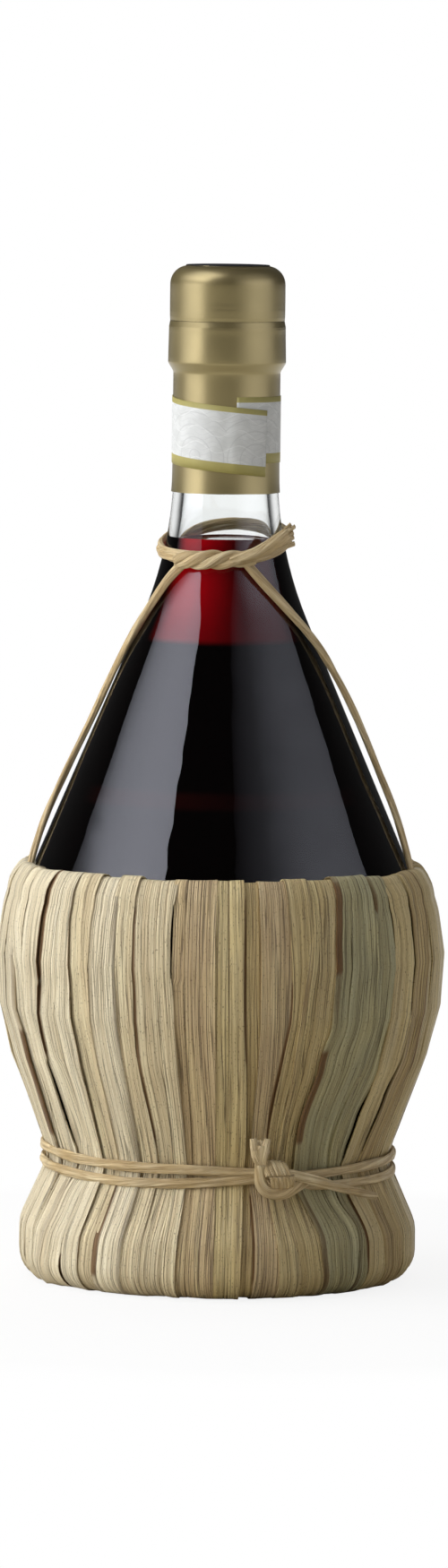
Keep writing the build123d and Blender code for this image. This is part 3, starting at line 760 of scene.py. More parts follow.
def makePaperMaterial():
    material, tree, shader, end = startMaterial("seal paper")
    apart = axes(tree, mapPlace(tree, "sheet"))
    clouds = noiseAt(tree, objectPlace(tree), 300.0, 4.0)
    colour = blendColours(tree, between(tree, clouds, 0.35, 0.65), paperLook["light"], paperLook["dark"])
    every = paperLook["ringsEvery"]
    cell = calc(tree, "SUBTRACT", calc(tree, "FRACT", calc(tree, "DIVIDE", apart[0], every)), 0.5)
    reach = lengthOf(tree, vectorOf(tree, times(tree, cell, every),
                                    calc(tree, "SUBTRACT", apart[1], paperLook["ringHeight"])))

    def wave(often, tall):
        swing = calc(tree, "SINE", times(tree, apart[0], often))
        return calc(tree, "ADD", apart[1], times(tree, swing, tall))

    for value, kind in ((reach, "rings"), (wave(0.55, 1.2), "wideWaves"), (wave(0.9, 0.6), "closeWaves")):
        spacing, thick, tint = paperLook[kind]
        line = calc(tree, "SUBTRACT", calc(tree, "FRACT", calc(tree, "DIVIDE", value, spacing)), 0.5)
        line = between(tree, calc(tree, "ABSOLUTE", line), thick, thick * 0.4)
        colour = blendColours(tree, times(tree, line, paperLook["lineShare"]), colour, tint)
    low, high = strip["bottomBorder"], strip["width"] - strip["topBorder"]
    border = calc(tree, "MAXIMUM", between(tree, apart[1], low + 0.05, low - 0.05),
                  between(tree, apart[1], high - 0.05, high + 0.05))
    ochre = blendColours(tree, clouds, paperLook["ochre"], paperLook["ochreLight"])
    colour = blendColours(tree, border, colour, ochre)
    tree.links.new(colour, shader.inputs["Base Color"])
    shader.inputs["Roughness"].default_value = 0.55
    addBump(tree, shader, clouds, 0.15, 0.0001)
    return material


sweepBack = 360 + strip["turnBack"] - strip["underEnd"]
sweepFront = strip["overEnd"] - strip["turnBack"]
points, sheetMap, faces = [], [], []
rows, last = strip["rows"], strip["steps"]
liftFrom, liftTo = (360 + strip["underEnd"] - before for before in strip["liftOver"])
for k in range(last + 1):
    azimuth = strip["underEnd"] + (sweepBack + sweepFront) * k / last
    down = strip["drop"] * max(0, (azimuth - strip["underEnd"] - sweepBack) / sweepFront)
    lift = strip["lift"] * easeBetween(liftFrom, liftTo, azimuth)
    for j in range(rows):
        up = j / (rows - 1)
        across = strip["width"] * up
        lean = strip["cutLean"] * (1 - up) if k == last else 0  # the cut end isn't square
        r = strip["radius"] + lift + strip["unevenness"] * ripple(azimuth * 0.05, across * 0.2)
        points.append(spot(r, azimuth + lean, strip["top"] - strip["width"] + across - down))
        sheetMap.append((math.radians(azimuth - strip["underEnd"]) * strip["radius"], across))
for k in range(last):
    for j in range(rows - 1):
        a = k * rows + j
        faces.append((a, a + rows, a + rows + 1, a + 1))
band = addPiece("sealStrip", points, faces, makePaperMaterial(), {"sheet": sheetMap})
thick = band.modifiers.new("paper", "SOLIDIFY")
thick.thickness = strip["paper"] * mm
thick.offset = 1
finishPiece(band, "bottle", "seal_paper", "seal_strip")
print("seal strip made")


# Straw basket: each blade in a few lengthwise strips, up from under the base, in at the waist and folded in
# at the rim
basket = {
    "footRadius": 37.0, "baseRadius": 51.4, "baseRound": 7.5, "baseSide": 14.6, "baseCurve": 9.0,
    "waistRadius": 43.9, "waist": 31.6, "waistCurve": 6.0, "bellyRadius": 60.9, "belly": 78.6,
    "bellyCurve": 70.0, "rimLean": 13.2, "rim": 108.7, "fold": 4.3, "foldRound": 1.7, "foldLeg": 2.6,
    "rimPull": 1.6, "thickness": 0.45, "firstEdge": -94.0, "seed": 7, "rowStep": 1.7, "columnStep": 1.6,
    "overlap": 0.5, "edgeLift": 0.13, "splitOpen": 0.03, "splitLift": 0.05, "splitOver": 8,
    "splitChance": 0.6, "wave": 0.2, "domed": 0.04, "edgeDown": 0.07, "edgeDownWide": 0.12, "creaseWide": 5,
    "ridge": (0.22, 104.5, 2.0), "hollow": (0.4, 100.3, 2.4), "foldFrom": (106, 108), "shiftFrom": (94, 106),
    "pullFrom": (101, 109), "pinchWide": 5.5, "pinchWave": 0.35, "sway": 0.55, "splitSway": 0.45,
    "widths": (12, 13, 13, 11, 7, 8.5, 6, 11, 11, 7.5, 5, 8, 6, 9, 12, 6, 7, 8, 11, 10,
               11, 8, 12, 9, 10.5, 7, 12, 9, 11, 8, 10, 12, 7.5, 9.5, 11, 9, 12, 9.5),
    "tones": "cream cream cream cream pale cream pale pale rosy straw tan rosy straw straw green green "
             "straw tan straw pale tan straw tan pale straw cream pale rosy pale tan pale rosy straw "
             "pale olive pale cream pale".split(),
}
# shares across a blade where it is split, by blade number; the others are split by chance
bladeSplits = {3: (0.35,), 4: (0.55,), 6: (), 7: (), 8: (0.62,), 9: (0.3,), 10: (0.48,), 12: (), 13: (0.4,),
               14: (0.33,), 15: (0.3, 0.62), 16: (0.55,), 18: (0.5,), 19: (0.33, 0.6)}
# how far a boundary strays from its even place: by blade number, (height in mm, degrees) at its left edge
bladeBends = {
    3: ((0, -3), (38, 2), (50, 3), (80, 2.2), (95, -0.5), (107, -1.5)),
    4: ((0, -6), (22, -2), (39, 3), (52, 2.7), (64, 1.5), (82, 2.8), (106, 2.8)),
    5: ((0, 0), (38, 4), (54, 4), (78, 3.2), (100, 1.7)), 6: ((0, 0), (38, 3), (100, 1.7)),
    7: ((0, 0), (38, 2.7), (100, 1)), 8: ((0, 0), (39, 2.8), (67, 1.3), (106, -0.4)),
    9: ((0, 0), (38, 1.3), (100, 0)), 11: ((0, 0), (39, 1.7), (90, -0.1)),
    13: ((0, 0), (44, -3.6), (80, 0.3), (108, -0.7)), 14: ((0, 0), (38, -5.5), (60, -4), (100, -1)),
    15: ((0, 0), (15, -2), (30, -7), (45, -8.5), (62, -5.5), (71, -3.2), (90, -2.2), (107, -0.2)),
    16: ((4, -1), (17, -0.5), (26, -5), (40, -7.5), (70, -1.5), (100, -1)),
    17: ((2, -2), (16, -3), (27, -6.3), (36, -7.2), (45, -6), (58, -2), (88, -0.8)),
    18: ((0, 0), (36, -5), (50, -2), (62, 1.6), (78, 1), (93, 1.6), (104, 2.4)),
    19: ((0, 0), (38, -0.4), (54, 1.6), (72, 0.3), (98, 2.6)),
}
# gaps between blades, by blade and split number: lowest and highest place, half width in mm, and whether a
# blade under it shows, in painted shade
bladeGaps = {
    (3, 0): ((66, 92, 0.8, False), (38, 72, 1.0, True)),
    (4, 0): ((80, 112, 0.6, True), (60, 90, 0.3, True), (37, 63, 0.8, False)), (4, 1): ((-8, 10, 0.5, True),),
    (8, 0): ((38, 104, 0.3, True),), (9, 0): ((82, 104, 0.25, False),), (11, 0): ((60, 106, 0.2, True),),
    (13, 0): ((40, 84, 0.25, True),), (15, 0): ((84, 108, 0.25, True), (40, 66, 0.15, True)),
    (16, 0): ((99, 112, 0.4, False), (-4, 32, 0.45, False)),
    (17, 0): ((88, 106, 0.6, False), (34, 54, 0.6, False), (4, 27, 0.3, True)),
    (18, 0): ((70, 112, 0.8, False), (34, 72, 0.6, False)), (19, 0): ((36, 110, 0.7, True),),
    (6, 0): ((4, 30, 0.2, True),), (12, 0): ((4, 28, 0.2, True),), (26, 0): ((40, 90, 0.5, False),),
    (31, 0): ((30, 80, 0.5, True),), (35, 0): ((45, 95, 0.4, True),),
}


def bladeOutline():  # rows of (radius, height, way out, length so far)
    lean = math.radians(basket["rimLean"])
    waist, belly, rim = basket["waist"], basket["belly"], basket["rim"]
    touch = (basket["bellyRadius"] - (rim - belly) * math.tan(lean), rim)
    corner = (touch[0] - basket["fold"] * math.cos(lean), touch[1] - basket["fold"] * math.sin(lean))
    legEnd = (corner[0] + basket["foldLeg"] * math.sin(lean), corner[1] - basket["foldLeg"] * math.cos(lean))
    line = dividedLine(roundedOutline([
        (basket["footRadius"], 0, 0), (basket["baseRadius"], 0, basket["baseRound"]),
        (basket["baseRadius"], basket["baseSide"], basket["baseCurve"]),
        (basket["waistRadius"], waist, basket["waistCurve"]),
        (basket["bellyRadius"], belly, basket["bellyCurve"]),
        (*touch, basket["foldRound"]), (*corner, basket["foldRound"]),
        (*legEnd, 0)], 12), basket["rowStep"])
    rows, length = [], 0
    for n, point in enumerate(line):
        way = (line[min(n + 1, len(line) - 1)] - line[max(n - 1, 0)]).normalized()
        length += (point - line[n - 1]).length if n else 0
        rows.append((point.x, point.y, Vector((way.y, -way.x)), length))
    return rows


bladeRows = bladeOutline()
chance = random.Random(basket["seed"])
bladeCount = len(basket["widths"])
edges = [basket["firstEdge"]]
for width in basket["widths"]:
    edges.append(edges[-1] + width * 360 / sum(basket["widths"]))
edgeOver = [chance.choice((-1, 1)) for _ in range(bladeCount)]
proudness = [chance.uniform(-0.15, 0.3) for _ in range(bladeCount)]
rimShift = [chance.uniform(-0.7, 0.5) for _ in range(bladeCount)]
creases = [(chance.uniform(58, 74), chance.uniform(-0.1, 0.3)) for _ in range(bladeCount)]


def edgeAt(number, height):  # the angle of a blade's left edge
    places = bladeBends.get(number % bladeCount + 1, ((0, 0),))
    bend = places[0][1]
    for (low, before), (high, after) in zip(places, places[1:]):
        bend += (after - before) * easeBetween(low, high, height)
    return edges[number] + bend


def boundaryAngle(blade, share, row):  # a boundary or a split wanders a little along the blade
    key = (blade + share) % bladeCount
    base = edgeAt(blade, row[1]) * (1 - share) + edgeAt(blade + 1, row[1]) * share
    sway = basket["sway"] if share in (0, 1) else basket["splitSway"]
    return base + math.degrees(sway * ripple(key * 5.31, row[3] * 0.03) / max(row[0], 30))


def gapAt(key, height):  # half width of a gap, whether the blade under it shows in painted shade, and 1 where it is open
    for low, high, half, shaded in bladeGaps.get(key, ()):
        share = 1 - abs((height - (low + high) / 2) / (high - low) * 2) ** 2.5
        if share > 0:
            return half * share * (0.9 + 0.35 * ripple(height * 0.13, key[0])), shaded, min(1, share * 4)
    return 0, False, 0


# where the columns near an edge stand, where its border of painted shade ends, and how much further it runs
# under a gap
def sideBorder(side):
    under = side["lift"] < -0.1
    gaps = bladeGaps.get(side["key"], ())
    extra = max([0] + [2 * half for low, high, half, shaded in gaps if shaded and under])
    if under:
        return (0, 0.85 + extra, 1.1 + extra, 1.5 + extra), (1.0 + extra, 1.3 + extra), extra
    return (0, 0.1, 0.3, 0.8), (0.0, 0.18), extra


def openedBy(side, extra, height):  # how far a side moves in at a height, how open it is, and how much painted shade it gets
    half, shaded, opened = gapAt(side["key"], height)
    under = side["lift"] < -0.1
    if shaded and abs(side["lift"]) > 0.1:
        return (-extra if under else 2 * half), opened
    return half + abs(side["over"]) * opened - (extra if under else 0), opened if shaded else 0


def unevenness(row, seed, fromLeft):  # small waves of a strip, stronger where the waist pinches it
    z, length = row[1], row[3]
    pinch = hump(z, basket["waist"], basket["pinchWide"])
    lift = (0.04 + 0.10 * pinch) * ripple(fromLeft * 0.8 + seed * 9, length * 0.02, seed)
    return lift + pinch * basket["pinchWave"] * ripple(seed * 4, length * 0.12)


def makeStrip(blade, number, sides, points, faces, fibres, across):  # one strip between two boundaries
    seed = blade * 3.17 + number * 0.71
    start = len(points)
    left, right = sides
    borders = [sideBorder(side) for side in sides]
    leftPlaces, rightPlaces = borders[0][0], borders[1][0]
    wide = basket["widths"][blade] * (right["share"] - left["share"]) * 0.95
    inner = max(1, round(wide / basket["columnStep"]))
    columns = len(leftPlaces) + inner + len(rightPlaces)
    tilt = chance.uniform(-0.15, 0.15)
    # how strong the painted shade along each border is
    borderShade = [chance.uniform(0.1, 0.6), chance.uniform(0.1, 0.6)]
    centre = (edges[blade] + edges[blade + 1]) / 2
    creaseHeight, creaseLift = creases[blade]
    for row in bladeRows:
        r, z, out, length = row
        toDegrees = math.degrees(1 / max(r, 20))
        moves = [openedBy(side, border[2], z) for side, border in zip(sides, borders)]
        a = boundaryAngle(blade, left["share"], row) + (moves[0][0] - left["over"]) * toDegrees
        b = boundaryAngle(blade, right["share"], row) - (moves[1][0] - right["over"]) * toDegrees
        widthHere = (b - a) / toDegrees
        shift = rimShift[blade] * easeBetween(*basket["shiftFrom"], z)
        pull = basket["rimPull"] * easeBetween(*basket["pullFrom"], z)
        wave = basket["wave"] * ripple(length * 0.045, seed * 2.3) + proudness[blade]
        wave += creaseLift * hump(z, creaseHeight, basket["creaseWide"])
        (high, *ridgePlace), (deep, *hollowPlace) = basket["ridge"], basket["hollow"]
        ridge = high * hump(z, *ridgePlace) - deep * hump(z, *hollowPlace)  # the cord shows through the blades
        onFold = easeBetween(*basket["foldFrom"], z)
        # a narrow strip has narrow borders
        fit = min(1 / widthHere, 0.9 / (leftPlaces[-1] + rightPlaces[-1]))
        shares = [d * fit for d in leftPlaces]
        last = [1 - d * fit for d in reversed(rightPlaces)]
        shares += [shares[-1] + (last[0] - shares[-1]) * (k + 1) / (inner + 1) for k in range(inner)] + last
        for share in shares:
            share = min(max(share, 0), 1)
            turn = a + (b - a) * share
            fromEdges = (share * widthHere, (1 - share) * widthHere)
            lift = left["lift"] * (1 - share) + right["lift"] * share
            lift += r / math.cos(math.radians(turn - centre)) - r  # flat across
            lift += wave + tilt * (share - 0.5) + basket["domed"] * math.sin(math.pi * share)
            lift += unevenness(row, seed, fromEdges[0])
            lift -= basket["edgeDown"] * math.exp(-min(fromEdges) / basket["edgeDownWide"])
            lift = lift * (1 - 0.5 * onFold) + ridge
            points.append(spot(r - pull + lift * out.x, turn, max(z + lift * out.y + shift, 0.0)))
            fibres.append((blade * 60 + number * 23 + fromEdges[0], length))
            # painted shade along the borders: wide where the strip lies under its neighbour or a gap, a thin
            # line where it lies over
            dark = 0
            for side in range(2):
                fade = 1 - easeBetween(*borders[side][1], fromEdges[side])
                shade = borderShade[side] * (0.75 + 1.1 * ripple(length * 0.06, seed + 40 * side))
                dark = max(dark, fade * max(moves[side][1], shade))
            across.append((dark, share))
    for k in range(len(bladeRows) - 1):
        for n in range(columns - 1):
            at = start + k * columns + n
            faces.append((at, at + 1, at + columns + 1, at + columns))


def makeBlade(blade):
    points, faces, fibres, across = [], [], [], []
    splits = bladeSplits.get(blade + 1)
    if splits is None:
        split = basket["widths"][blade] > basket["splitOver"] and chance.random() < basket["splitChance"]
        splits = (chance.uniform(0.3, 0.7),) if split else ()
    ends = (0, *splits, 1)
    following = (blade + 1) % bladeCount
    for number, (low, high) in enumerate(zip(ends, ends[1:])):
        sides = []
        for share, key, lift in ((low, (blade + 1, number), edgeOver[blade]),
                                 (high, (blade + 1, number + 1), -edgeOver[following])):
            if share in (0, 1):  # its edge lies over or under the next blade's
                key = (blade + 1, 0) if share == 0 else (following + 1, 0)
                lift *= basket["edgeLift"]
                sides.append({"share": share, "over": basket["overlap"], "lift": lift, "key": key})
            else:
                lift = chance.uniform(-basket["splitLift"], basket["splitLift"])
                sides.append({"share": share, "over": -basket["splitOpen"], "lift": lift, "key": key})
        makeStrip(blade, number, sides, points, faces, fibres, across)
    name = f"straw_blade_{blade + 1:02d}"
    maps = {"fibres": fibres, "across": across}
    leaf = addPiece(name + "_leaf", points, faces, strawMaterials[basket["tones"][blade]], maps)
    thick = leaf.modifiers.new("leaf", "SOLIDIFY")
    thick.thickness = basket["thickness"] * mm
    thick.offset = -1
    finishPiece(leaf, "bottle", "straw", name)


for blade in range(bladeCount):
    makeBlade(blade)
print("straw blades made")

# Packed straw ring inside the base
packedRing = {"floor": 1.2, "inside": 30.0, "outside": 49.6, "side": 16.0, "top": 29.3, "topOutside": 43.0,
              "topInside": 36.5, "seat": 25.2, "light": (0.42, 0.32, 0.17, 1), "dark": (0.20, 0.13, 0.06, 1)}


def bundleRing(r, azimuth, z):
    return 0.5 * ripple(azimuth * 0.02 + z * 0.4, r * 0.35), 0.3 * ripple(azimuth * 0.03, z * 0.5)


material, tree, shader, end = startMaterial("packed straw")
clouds = noiseAt(tree, objectPlace(tree), 500.0, 3.0)
colour = blendColours(tree, between(tree, clouds, 0.35, 0.65), packedRing["light"], packedRing["dark"])
tree.links.new(colour, shader.inputs["Base Color"])
shader.inputs["Roughness"].default_value = 0.8
addBump(tree, shader, clouds, 0.5, 0.0008)
floorHeight, inside, side = packedRing["floor"], packedRing["inside"], packedRing["outside"]
ringLine = dividedLine(roundedOutline([
    (inside, floorHeight, 2.0), (side, floorHeight, 6.5), (side, packedRing["side"], 12.0),
    (packedRing["topOutside"], packedRing["top"], 2.0), (packedRing["topInside"], packedRing["top"], 1.0),
    (inside + 0.2, packedRing["seat"], 0.5), (inside, floorHeight, 0)], 15)[1:], 2)
ringLine = [Vector((p.x, max(p.y, floorHeight))) for p in ringLine]
ring = lathe("packedRing", [*ringLine, ringLine[0]], material, 128, 50, bundleRing)
finishPiece(ring, "bottle", "packed_straw", "base_ring")


# Raffia: a flat bundle of strands twisted together, swept along a line
bundle = {"uneven": 0.12, "wander": 1.5, "core": 0.74, "lobes": 0.30, "lumps": 0.10, "wide": 1.12}
ribbon = {"taperFrom": 0.6, "curl": 0.9, "ragged": 0.15, "edgeDark": 0.6, "thickness": 0.12}


def pathLine(places, step):  # places of (radius, azimuth, height) to a fine line
    return splineLine([spot(*place) for place in places], step * mm)


def alongLine(line):  # each place with its side, the way out from the bottle, the length so far and its share
    length = 0
    for n, place in enumerate(line):
        back = line[max(n - 1, 0)]
        way = (line[min(n + 1, len(line) - 1)] - back).normalized()
        side = way.cross(Vector((place.x, place.y, 0)).normalized()).normalized()
        length += (place - back).length / mm
        yield place, side, side.cross(way).normalized(), length, n / (len(line) - 1)


def raffiaBundle(name, line, radius, flat=0.75, strands=5, pitch=16.0, seed=0.0, ends=(1.0, 1.0), around=24):
    points, faces, fibres, across = [], [], [], []
    for place, side, outward, length, share in alongLine(line):
        size = radius * (ends[0] * (1 - share) + ends[1] * share)
        size *= 1 + bundle["uneven"] * ripple(length * 0.09, seed * 3.1)
        twist = 2 * math.pi * length / pitch + bundle["wander"] * ripple(length * 0.03, seed)
        for k in range(around):
            angle = 2 * math.pi * k / around
            body = angle - twist
            lobe = abs(math.sin(strands * body / 2 + 0.8 * ripple(seed, length * 0.02)))
            lump = ripple(math.cos(body) * 2 + seed, math.sin(body) * 2, length * 0.05)
            reach = size * (bundle["core"] + bundle["lobes"] * lobe ** 0.6 + bundle["lumps"] * lump) * mm
            sideways = side * math.cos(angle) * reach * bundle["wide"]
            points.append(place + sideways + outward * math.sin(angle) * reach * flat)
            fibres.append((seed * 13 + body * radius, length))
            # painted shade in the valleys between strands
            across.append((1 - lobe ** 0.5, share))
    for n in range(len(line) - 1):
        for k in range(around):
            a, b = n * around + k, n * around + (k + 1) % around
            faces.append((a, b, b + around, a + around))
    faces.append(tuple(reversed(range(around))))
    faces.append(tuple(range((len(line) - 1) * around, len(line) * around)))
    maps = {"fibres": [], "across": []}
    for face in faces:
        closing = len(face) == 4 and face[1] % around == 0  # the map goes on past the last point of a ring
        for point in face:
            turn = 2 * math.pi * radius if closing and point % around == 0 else 0
            maps["fibres"].append((fibres[point][0] + turn, fibres[point][1]))
            maps["across"].append(across[point])
    return addPiece(name, points, faces, raffiaMaterial, maps)


# A thin flat fibre or ribbon, tapering to its tip
def raffiaRibbon(name, line, width, seed=0.0, lift=0.25, tip=0.5):
    points, faces, fibres, across = [], [], [], []
    for place, side, outward, length, share in alongLine(line):
        half = width / 2 * (1 - (1 - tip) * easeBetween(ribbon["taperFrom"], 1, share))
        curl = ribbon["curl"] * ripple(length * 0.12, seed)
        flatWay = side * math.cos(curl) + outward * math.sin(curl)
        for k in range(5):
            s = k / 2 - 1
            edge = half * s * (1 + ribbon["ragged"] * ripple(length * 0.5, seed + k))
            points.append(place + flatWay * edge * mm + outward * (lift * (1 - s * s) * width / 2) * mm)
            fibres.append((seed * 11 + edge, length))
            # painted shade toward the edges, where the arched ribbon curls down
            across.append((abs(s) ** 3 * ribbon["edgeDark"], share))
    for n in range(len(line) - 1):
        for k in range(4):
            a = n * 5 + k
            faces.append((a, a + 1, a + 6, a + 5))
    piece = addPiece(name, points, faces, raffiaMaterial, {"fibres": fibres, "across": across})
    thick = piece.modifiers.new("ribbon", "SOLIDIFY")
    thick.thickness = ribbon["thickness"] * mm
    thick.offset = 0
    return piece


def ribbonTuft(name, tuft):  # ribbons side by side that fan out and stray along their way
    ribbons = []
    for n in range(tuft["count"]):
        spread = 2 * n / (tuft["count"] - 1) - 1
        turns = [n * turn for turn in tuft["strayTurns"]]
        route = []
        for (r, azimuth, z), (fanAcross, fanUp), (out, across, up) in tuft["places"]:
            azimuth += fanAcross * spread + across * math.cos(turns[1])
            z += fanUp * spread + up * math.cos(turns[2])
            route.append((r + out * math.sin(turns[0]), azimuth, z))
        line = pathLine(route, 0.5)
        ribbons.append(raffiaRibbon(f"{name}{n}", line, seed=tuft["seed"] + n, **tuft["shape"]))
    return ribbons


def joined(name, parts):  # several meshes as one piece
    depsgraph = bpy.context.evaluated_depsgraph_get()
    meshes = [bpy.data.meshes.new_from_object(part.evaluated_get(depsgraph)) for part in parts]
    points, faces, maps = [], [], {"fibres": [], "across": []}
    for mesh in meshes:
        start = len(points)
        points += [v.co.copy() for v in mesh.vertices]
        for face in mesh.polygons:
            faces.append([start + v for v in face.vertices])
            for mapName, spots in maps.items():
                spots += [tuple(mesh.uv_layers[mapName].data[k].uv) for k in face.loop_indices]
        bpy.data.meshes.remove(mesh)
    for part in parts:
        bpy.data.objects.remove(part)
    return addPiece(name, points, faces, raffiaMaterial, maps)


# Waist cord: two turns, a wound knot, a tuft and a long tail
waistCord = {
    "turns": 2, "height": 31.9, "out": 46.2, "apart": 4.0, "startAt": 17.0, "closeAt": 14, "closeWide": 15,
    "closeShare": 0.75, "dip": 2.2, "dipAt": -25, "dipWide": 40,
    "shape": {"radius": 1.15, "flat": 0.65, "strands": 4, "pitch": 110.0, "seed": 1.0},
    "tail": ((49.4, 14, 32.8), (51.0, 20, 32.9), (50.8, 25, 31.9), (50.4, 33, 29.8), (51.0, 42, 27.4),
             (52.0, 52, 25.2)),
    "tailShape": {"radius": 1.25, "flat": 0.55, "strands": 4, "pitch": 90.0, "seed": 2.0, "ends": (1.1, 0.7)},
    "loop": ((49.0, 27, 30.6), (50.0, 22, 28.4), (50.4, 18, 27.4), (50.4, 14.2, 28.2), (50.2, 12.6, 30.4),
             (50.6, 12.5, 33.0), (51.0, 12.4, 35.4)),
    "loopShape": {"radius": 1.45, "flat": 0.7, "strands": 4, "pitch": 50.0, "seed": 3.0},
}
waistKnot = {
    "windings": 6, "first": 14.6, "apart": 1.15, "slant": 1.0, "advance": 0.1, "out": 49.6, "deep": 2.2,
    "height": 32.4, "tall": 3.5, "taper": 0.22, "tallest": 2,
    "shape": {"radius": 0.8, "flat": 0.9, "strands": 3, "pitch": 30.0, "around": 12},
}
waistTuft = {
    "count": 9, "seed": 6.0, "shape": {"width": 2.2, "lift": 0.3, "tip": 0.85}, "strayTurns": (2.1, 0, 2.7),
    "places": (  # radius, azimuth and height, then how far it fans and strays there
        ((50.6, 12.8, 33.2), (0, 0), (0, 0, 0)), ((51.4, 12.2, 36.0), (0.6, 0), (0, 0, 0)),
        ((51.7, 11.9, 38.4), (1.5, 0), (0.4, 0, 0)), ((51.5, 12.2, 40.7), (2.3, 0), (0.8, 0, 1.5)),
    ),
}


def cordSteps(turns, perTurn=24):
    return [k / perTurn for k in range(perTurn * turns + 1)]


def waistSpot(s):
    azimuth = (360 * s + waistCord["startAt"] + 180) % 360 - 180
    close = waistCord["closeShare"] * hump(azimuth, waistCord["closeAt"], waistCord["closeWide"])
    apart = waistCord["apart"] * (s - waistCord["turns"] / 2) * (1 - close)
    dip = waistCord["dip"] * hump(azimuth, waistCord["dipAt"], waistCord["dipWide"])
    height = waistCord["height"] + apart - dip + 0.3 * ripple(s * 7, 1.0)
    return spot(waistCord["out"] + 0.25 * ripple(s * 9, 3.0), azimuth, height)


def windingPlaces(number):
    places = []
    tall = waistKnot["tall"] - waistKnot["taper"] * abs(number - waistKnot["tallest"])
    for k in range(11):
        turn = 2 * math.pi * k / 10
        azimuth = waistKnot["first"] + number * waistKnot["apart"] - waistKnot["slant"] * math.sin(turn)
        azimuth += waistKnot["advance"] * k
        r = waistKnot["out"] + waistKnot["deep"] * math.cos(turn)
        places.append((r, azimuth, waistKnot["height"] + tall * math.sin(turn)))
    return places


turnsLine = splineLine([waistSpot(s) for s in cordSteps(waistCord["turns"])], 0.9 * mm)
parts = [raffiaBundle("waistTurns", turnsLine, **waistCord["shape"]),
         raffiaBundle("waistTail", pathLine(waistCord["tail"], 0.6), **waistCord["tailShape"]),
         raffiaBundle("waistLoop", pathLine(waistCord["loop"], 0.5), **waistCord["loopShape"])]
for n in range(waistKnot["windings"]):
    line = pathLine(windingPlaces(n), 0.5)
    parts.append(raffiaBundle(f"waistWinding{n}", line, seed=4.0 + n, **waistKnot["shape"]))
parts += ribbonTuft("waistTuft", waistTuft)
finishPiece(joined("waistCordRaffia", parts), "bottle", "raffia_cord", "waist_cord")

# Neck cord: two turns, higher behind, a plaited knot and one thick cut end
neckCord = {
    "turns": 2, "height": 192.1, "out": 1.3, "apart": 1.26, "startAt": -9.0, "lowFront": 3.7, "lowLeft": 1.7,
    "shape": {"radius": 0.95, "flat": 0.9, "strands": 4, "pitch": 70.0, "seed": 11.0},
    "core": ((19.3, 4, 188.4), (20.2, 16, 189.3), (20.8, 28, 190.9), (21.4, 39, 193.0), (22.0, 47, 194.6)),
    "coreShape": {"radius": 1.3, "flat": 0.8, "strands": 5, "pitch": 60.0, "seed": 15.0, "ends": (0.9, 1.6)},
}
neckPlait = {
    "strands": 3, "from": -42, "sweep": 66, "turns": 1.25, "glassAt": 188, "out": 2.5, "deep": 0.95,
    "height": 187.9, "rise": 0.8, "tall": 1.45, "endShare": 0.55, "steps": 16,
    "shape": {"radius": 1.45, "flat": 0.8, "strands": 4, "pitch": 40.0, "ends": (0.8, 0.8)},
}
neckEnd = {
    "count": 10, "seed": 16.0, "shape": {"width": 1.6, "lift": 0.35, "tip": 0.8}, "strayTurns": (1.9, 2.3, 0),
    "places": (
        ((19.6, 7.8, 188.4), (1.8, 0), (0, 0, 0)), ((20.7, 18, 189.6), (0, 0.5), (0, 0, 0)),
        ((21.2, 30, 191.2), (0, 1.1), (0, 0, 0)), ((21.8, 41, 193.2), (0, 1.8), (0, 0, 0)),
        ((22.6, 50, 195.0), (0, 2.5), (0.3, 2.5, 0)),
    ),
}


def neckSpot(s):
    azimuth = 360 * s + neckCord["startAt"]
    turn = math.radians(azimuth)
    height = neckCord["height"] + neckCord["apart"] * (s - neckCord["turns"] / 2) + 0.3 * ripple(s * 8, 5.0)
    height += neckCord["lowLeft"] * math.sin(turn) - neckCord["lowFront"] * math.cos(turn)
    return spot(glassRadius(height) + neckCord["out"], azimuth, height)


def plaitPlaces(number):
    places = []
    for k in range(neckPlait["steps"] + 1):
        share = k / neckPlait["steps"]
        turn = 2 * math.pi * (share * neckPlait["turns"] + number / neckPlait["strands"])
        narrow = neckPlait["endShare"] + (1 - neckPlait["endShare"]) * math.sin(math.pi * min(share * 1.1, 1))
        r = glassRadius(neckPlait["glassAt"]) + neckPlait["out"] + neckPlait["deep"] * narrow * math.cos(turn)
        z = neckPlait["height"] + neckPlait["rise"] * share + neckPlait["tall"] * narrow * math.sin(turn)
        places.append((r, neckPlait["from"] + neckPlait["sweep"] * share, z))
    return places


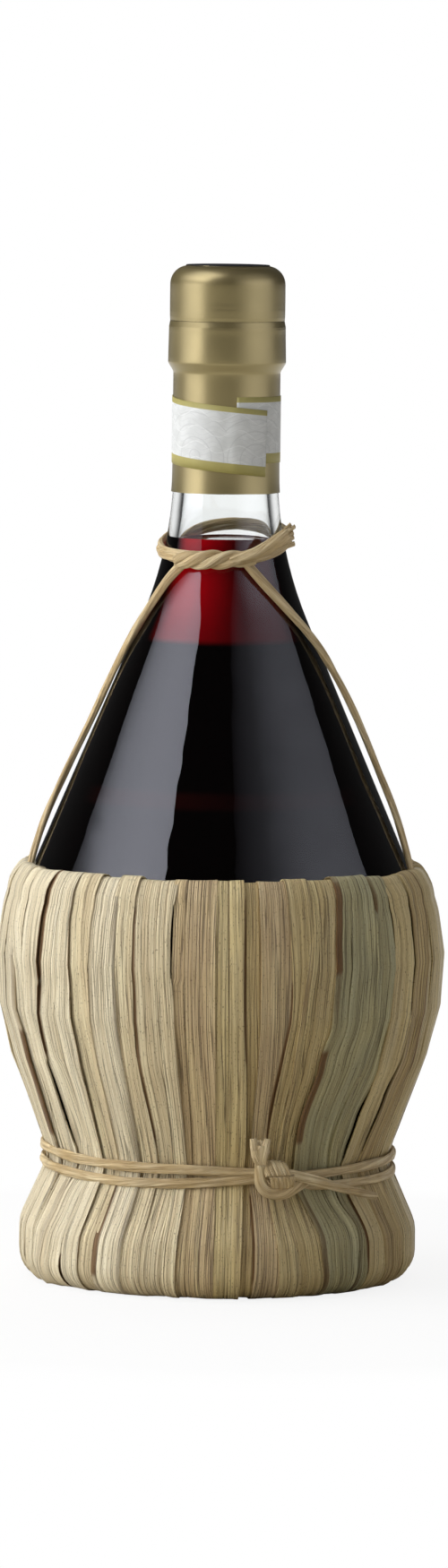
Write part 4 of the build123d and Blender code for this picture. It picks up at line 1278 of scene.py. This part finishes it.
turnsLine = splineLine([neckSpot(s) for s in cordSteps(neckCord["turns"])], 0.6 * mm)
parts = [raffiaBundle("neckTurns", turnsLine, **neckCord["shape"])]
for n in range(neckPlait["strands"]):
    line = pathLine(plaitPlaces(n), 0.5)
    parts.append(raffiaBundle(f"neckPlait{n}", line, seed=12.0 + n, **neckPlait["shape"]))
parts += ribbonTuft("neckEnd", neckEnd)
parts.append(raffiaBundle("neckEndCore", pathLine(neckCord["core"], 0.5), **neckCord["coreShape"]))
finishPiece(joined("neckCordRaffia", parts), "bottle", "raffia_cord", "neck_cord")

# Cord legs down to the rim, and the cord in the fold of the rim
legPlaces = {  # azimuth, height and how far off the glass
    "left_cord_leg": ((-30, 188.6, 2.2), (-46, 185.0, 1.4), (-62, 177.5, 1.3), (-77, 168.5, 1.2),
                      (-87, 157.5, 1.2), (-90, 145.5, 1.4), (-90, 133.5, 2.0), (-87, 121.5, 2.4),
                      (-84, 111.5, 1.6), (-82, 106.6, 1.0)),
    "right_cord_leg": ((17, 187.6, 2.2), (31, 182.4, 1.4), (50, 175.6, 1.4), (68, 167.0, 1.9),
                       (78, 157.0, 2.6), (80, 146.0, 3.0), (80, 134.0, 3.2), (81, 122.0, 2.8),
                       (80, 111.5, 1.6), (79, 106.6, 1.0)),
}
legShape = {"radius": 1.15, "flat": 0.8, "strands": 3, "pitch": 120.0}
rimCord = {"turnRadius": 51.7, "height": 105.9, "places": 36,
           "shape": {"radius": 0.8, "flat": 1.0, "strands": 3, "pitch": 12.0, "seed": 40.0, "around": 10}}
for n, (node, places) in enumerate(legPlaces.items()):
    line = pathLine([(glassRadius(z) + off, azimuth, z) for azimuth, z, off in places], 0.6)
    leg = raffiaBundle(node + "_raffia", line, seed=31.0 + n * 3, **legShape)
    finishPiece(leg, "bottle", "raffia_cord", node)
rimTurns = [360 * k / rimCord["places"] for k in range(rimCord["places"] + 1)]
rimPlaces = [(rimCord["turnRadius"], azimuth, rimCord["height"]) for azimuth in rimTurns]
rimRaffia = raffiaBundle("rimCordRaffia", pathLine(rimPlaces, 1.5), **rimCord["shape"])
finishPiece(rimRaffia, "bottle", "raffia_cord", "rim_cord")
print("cords made")
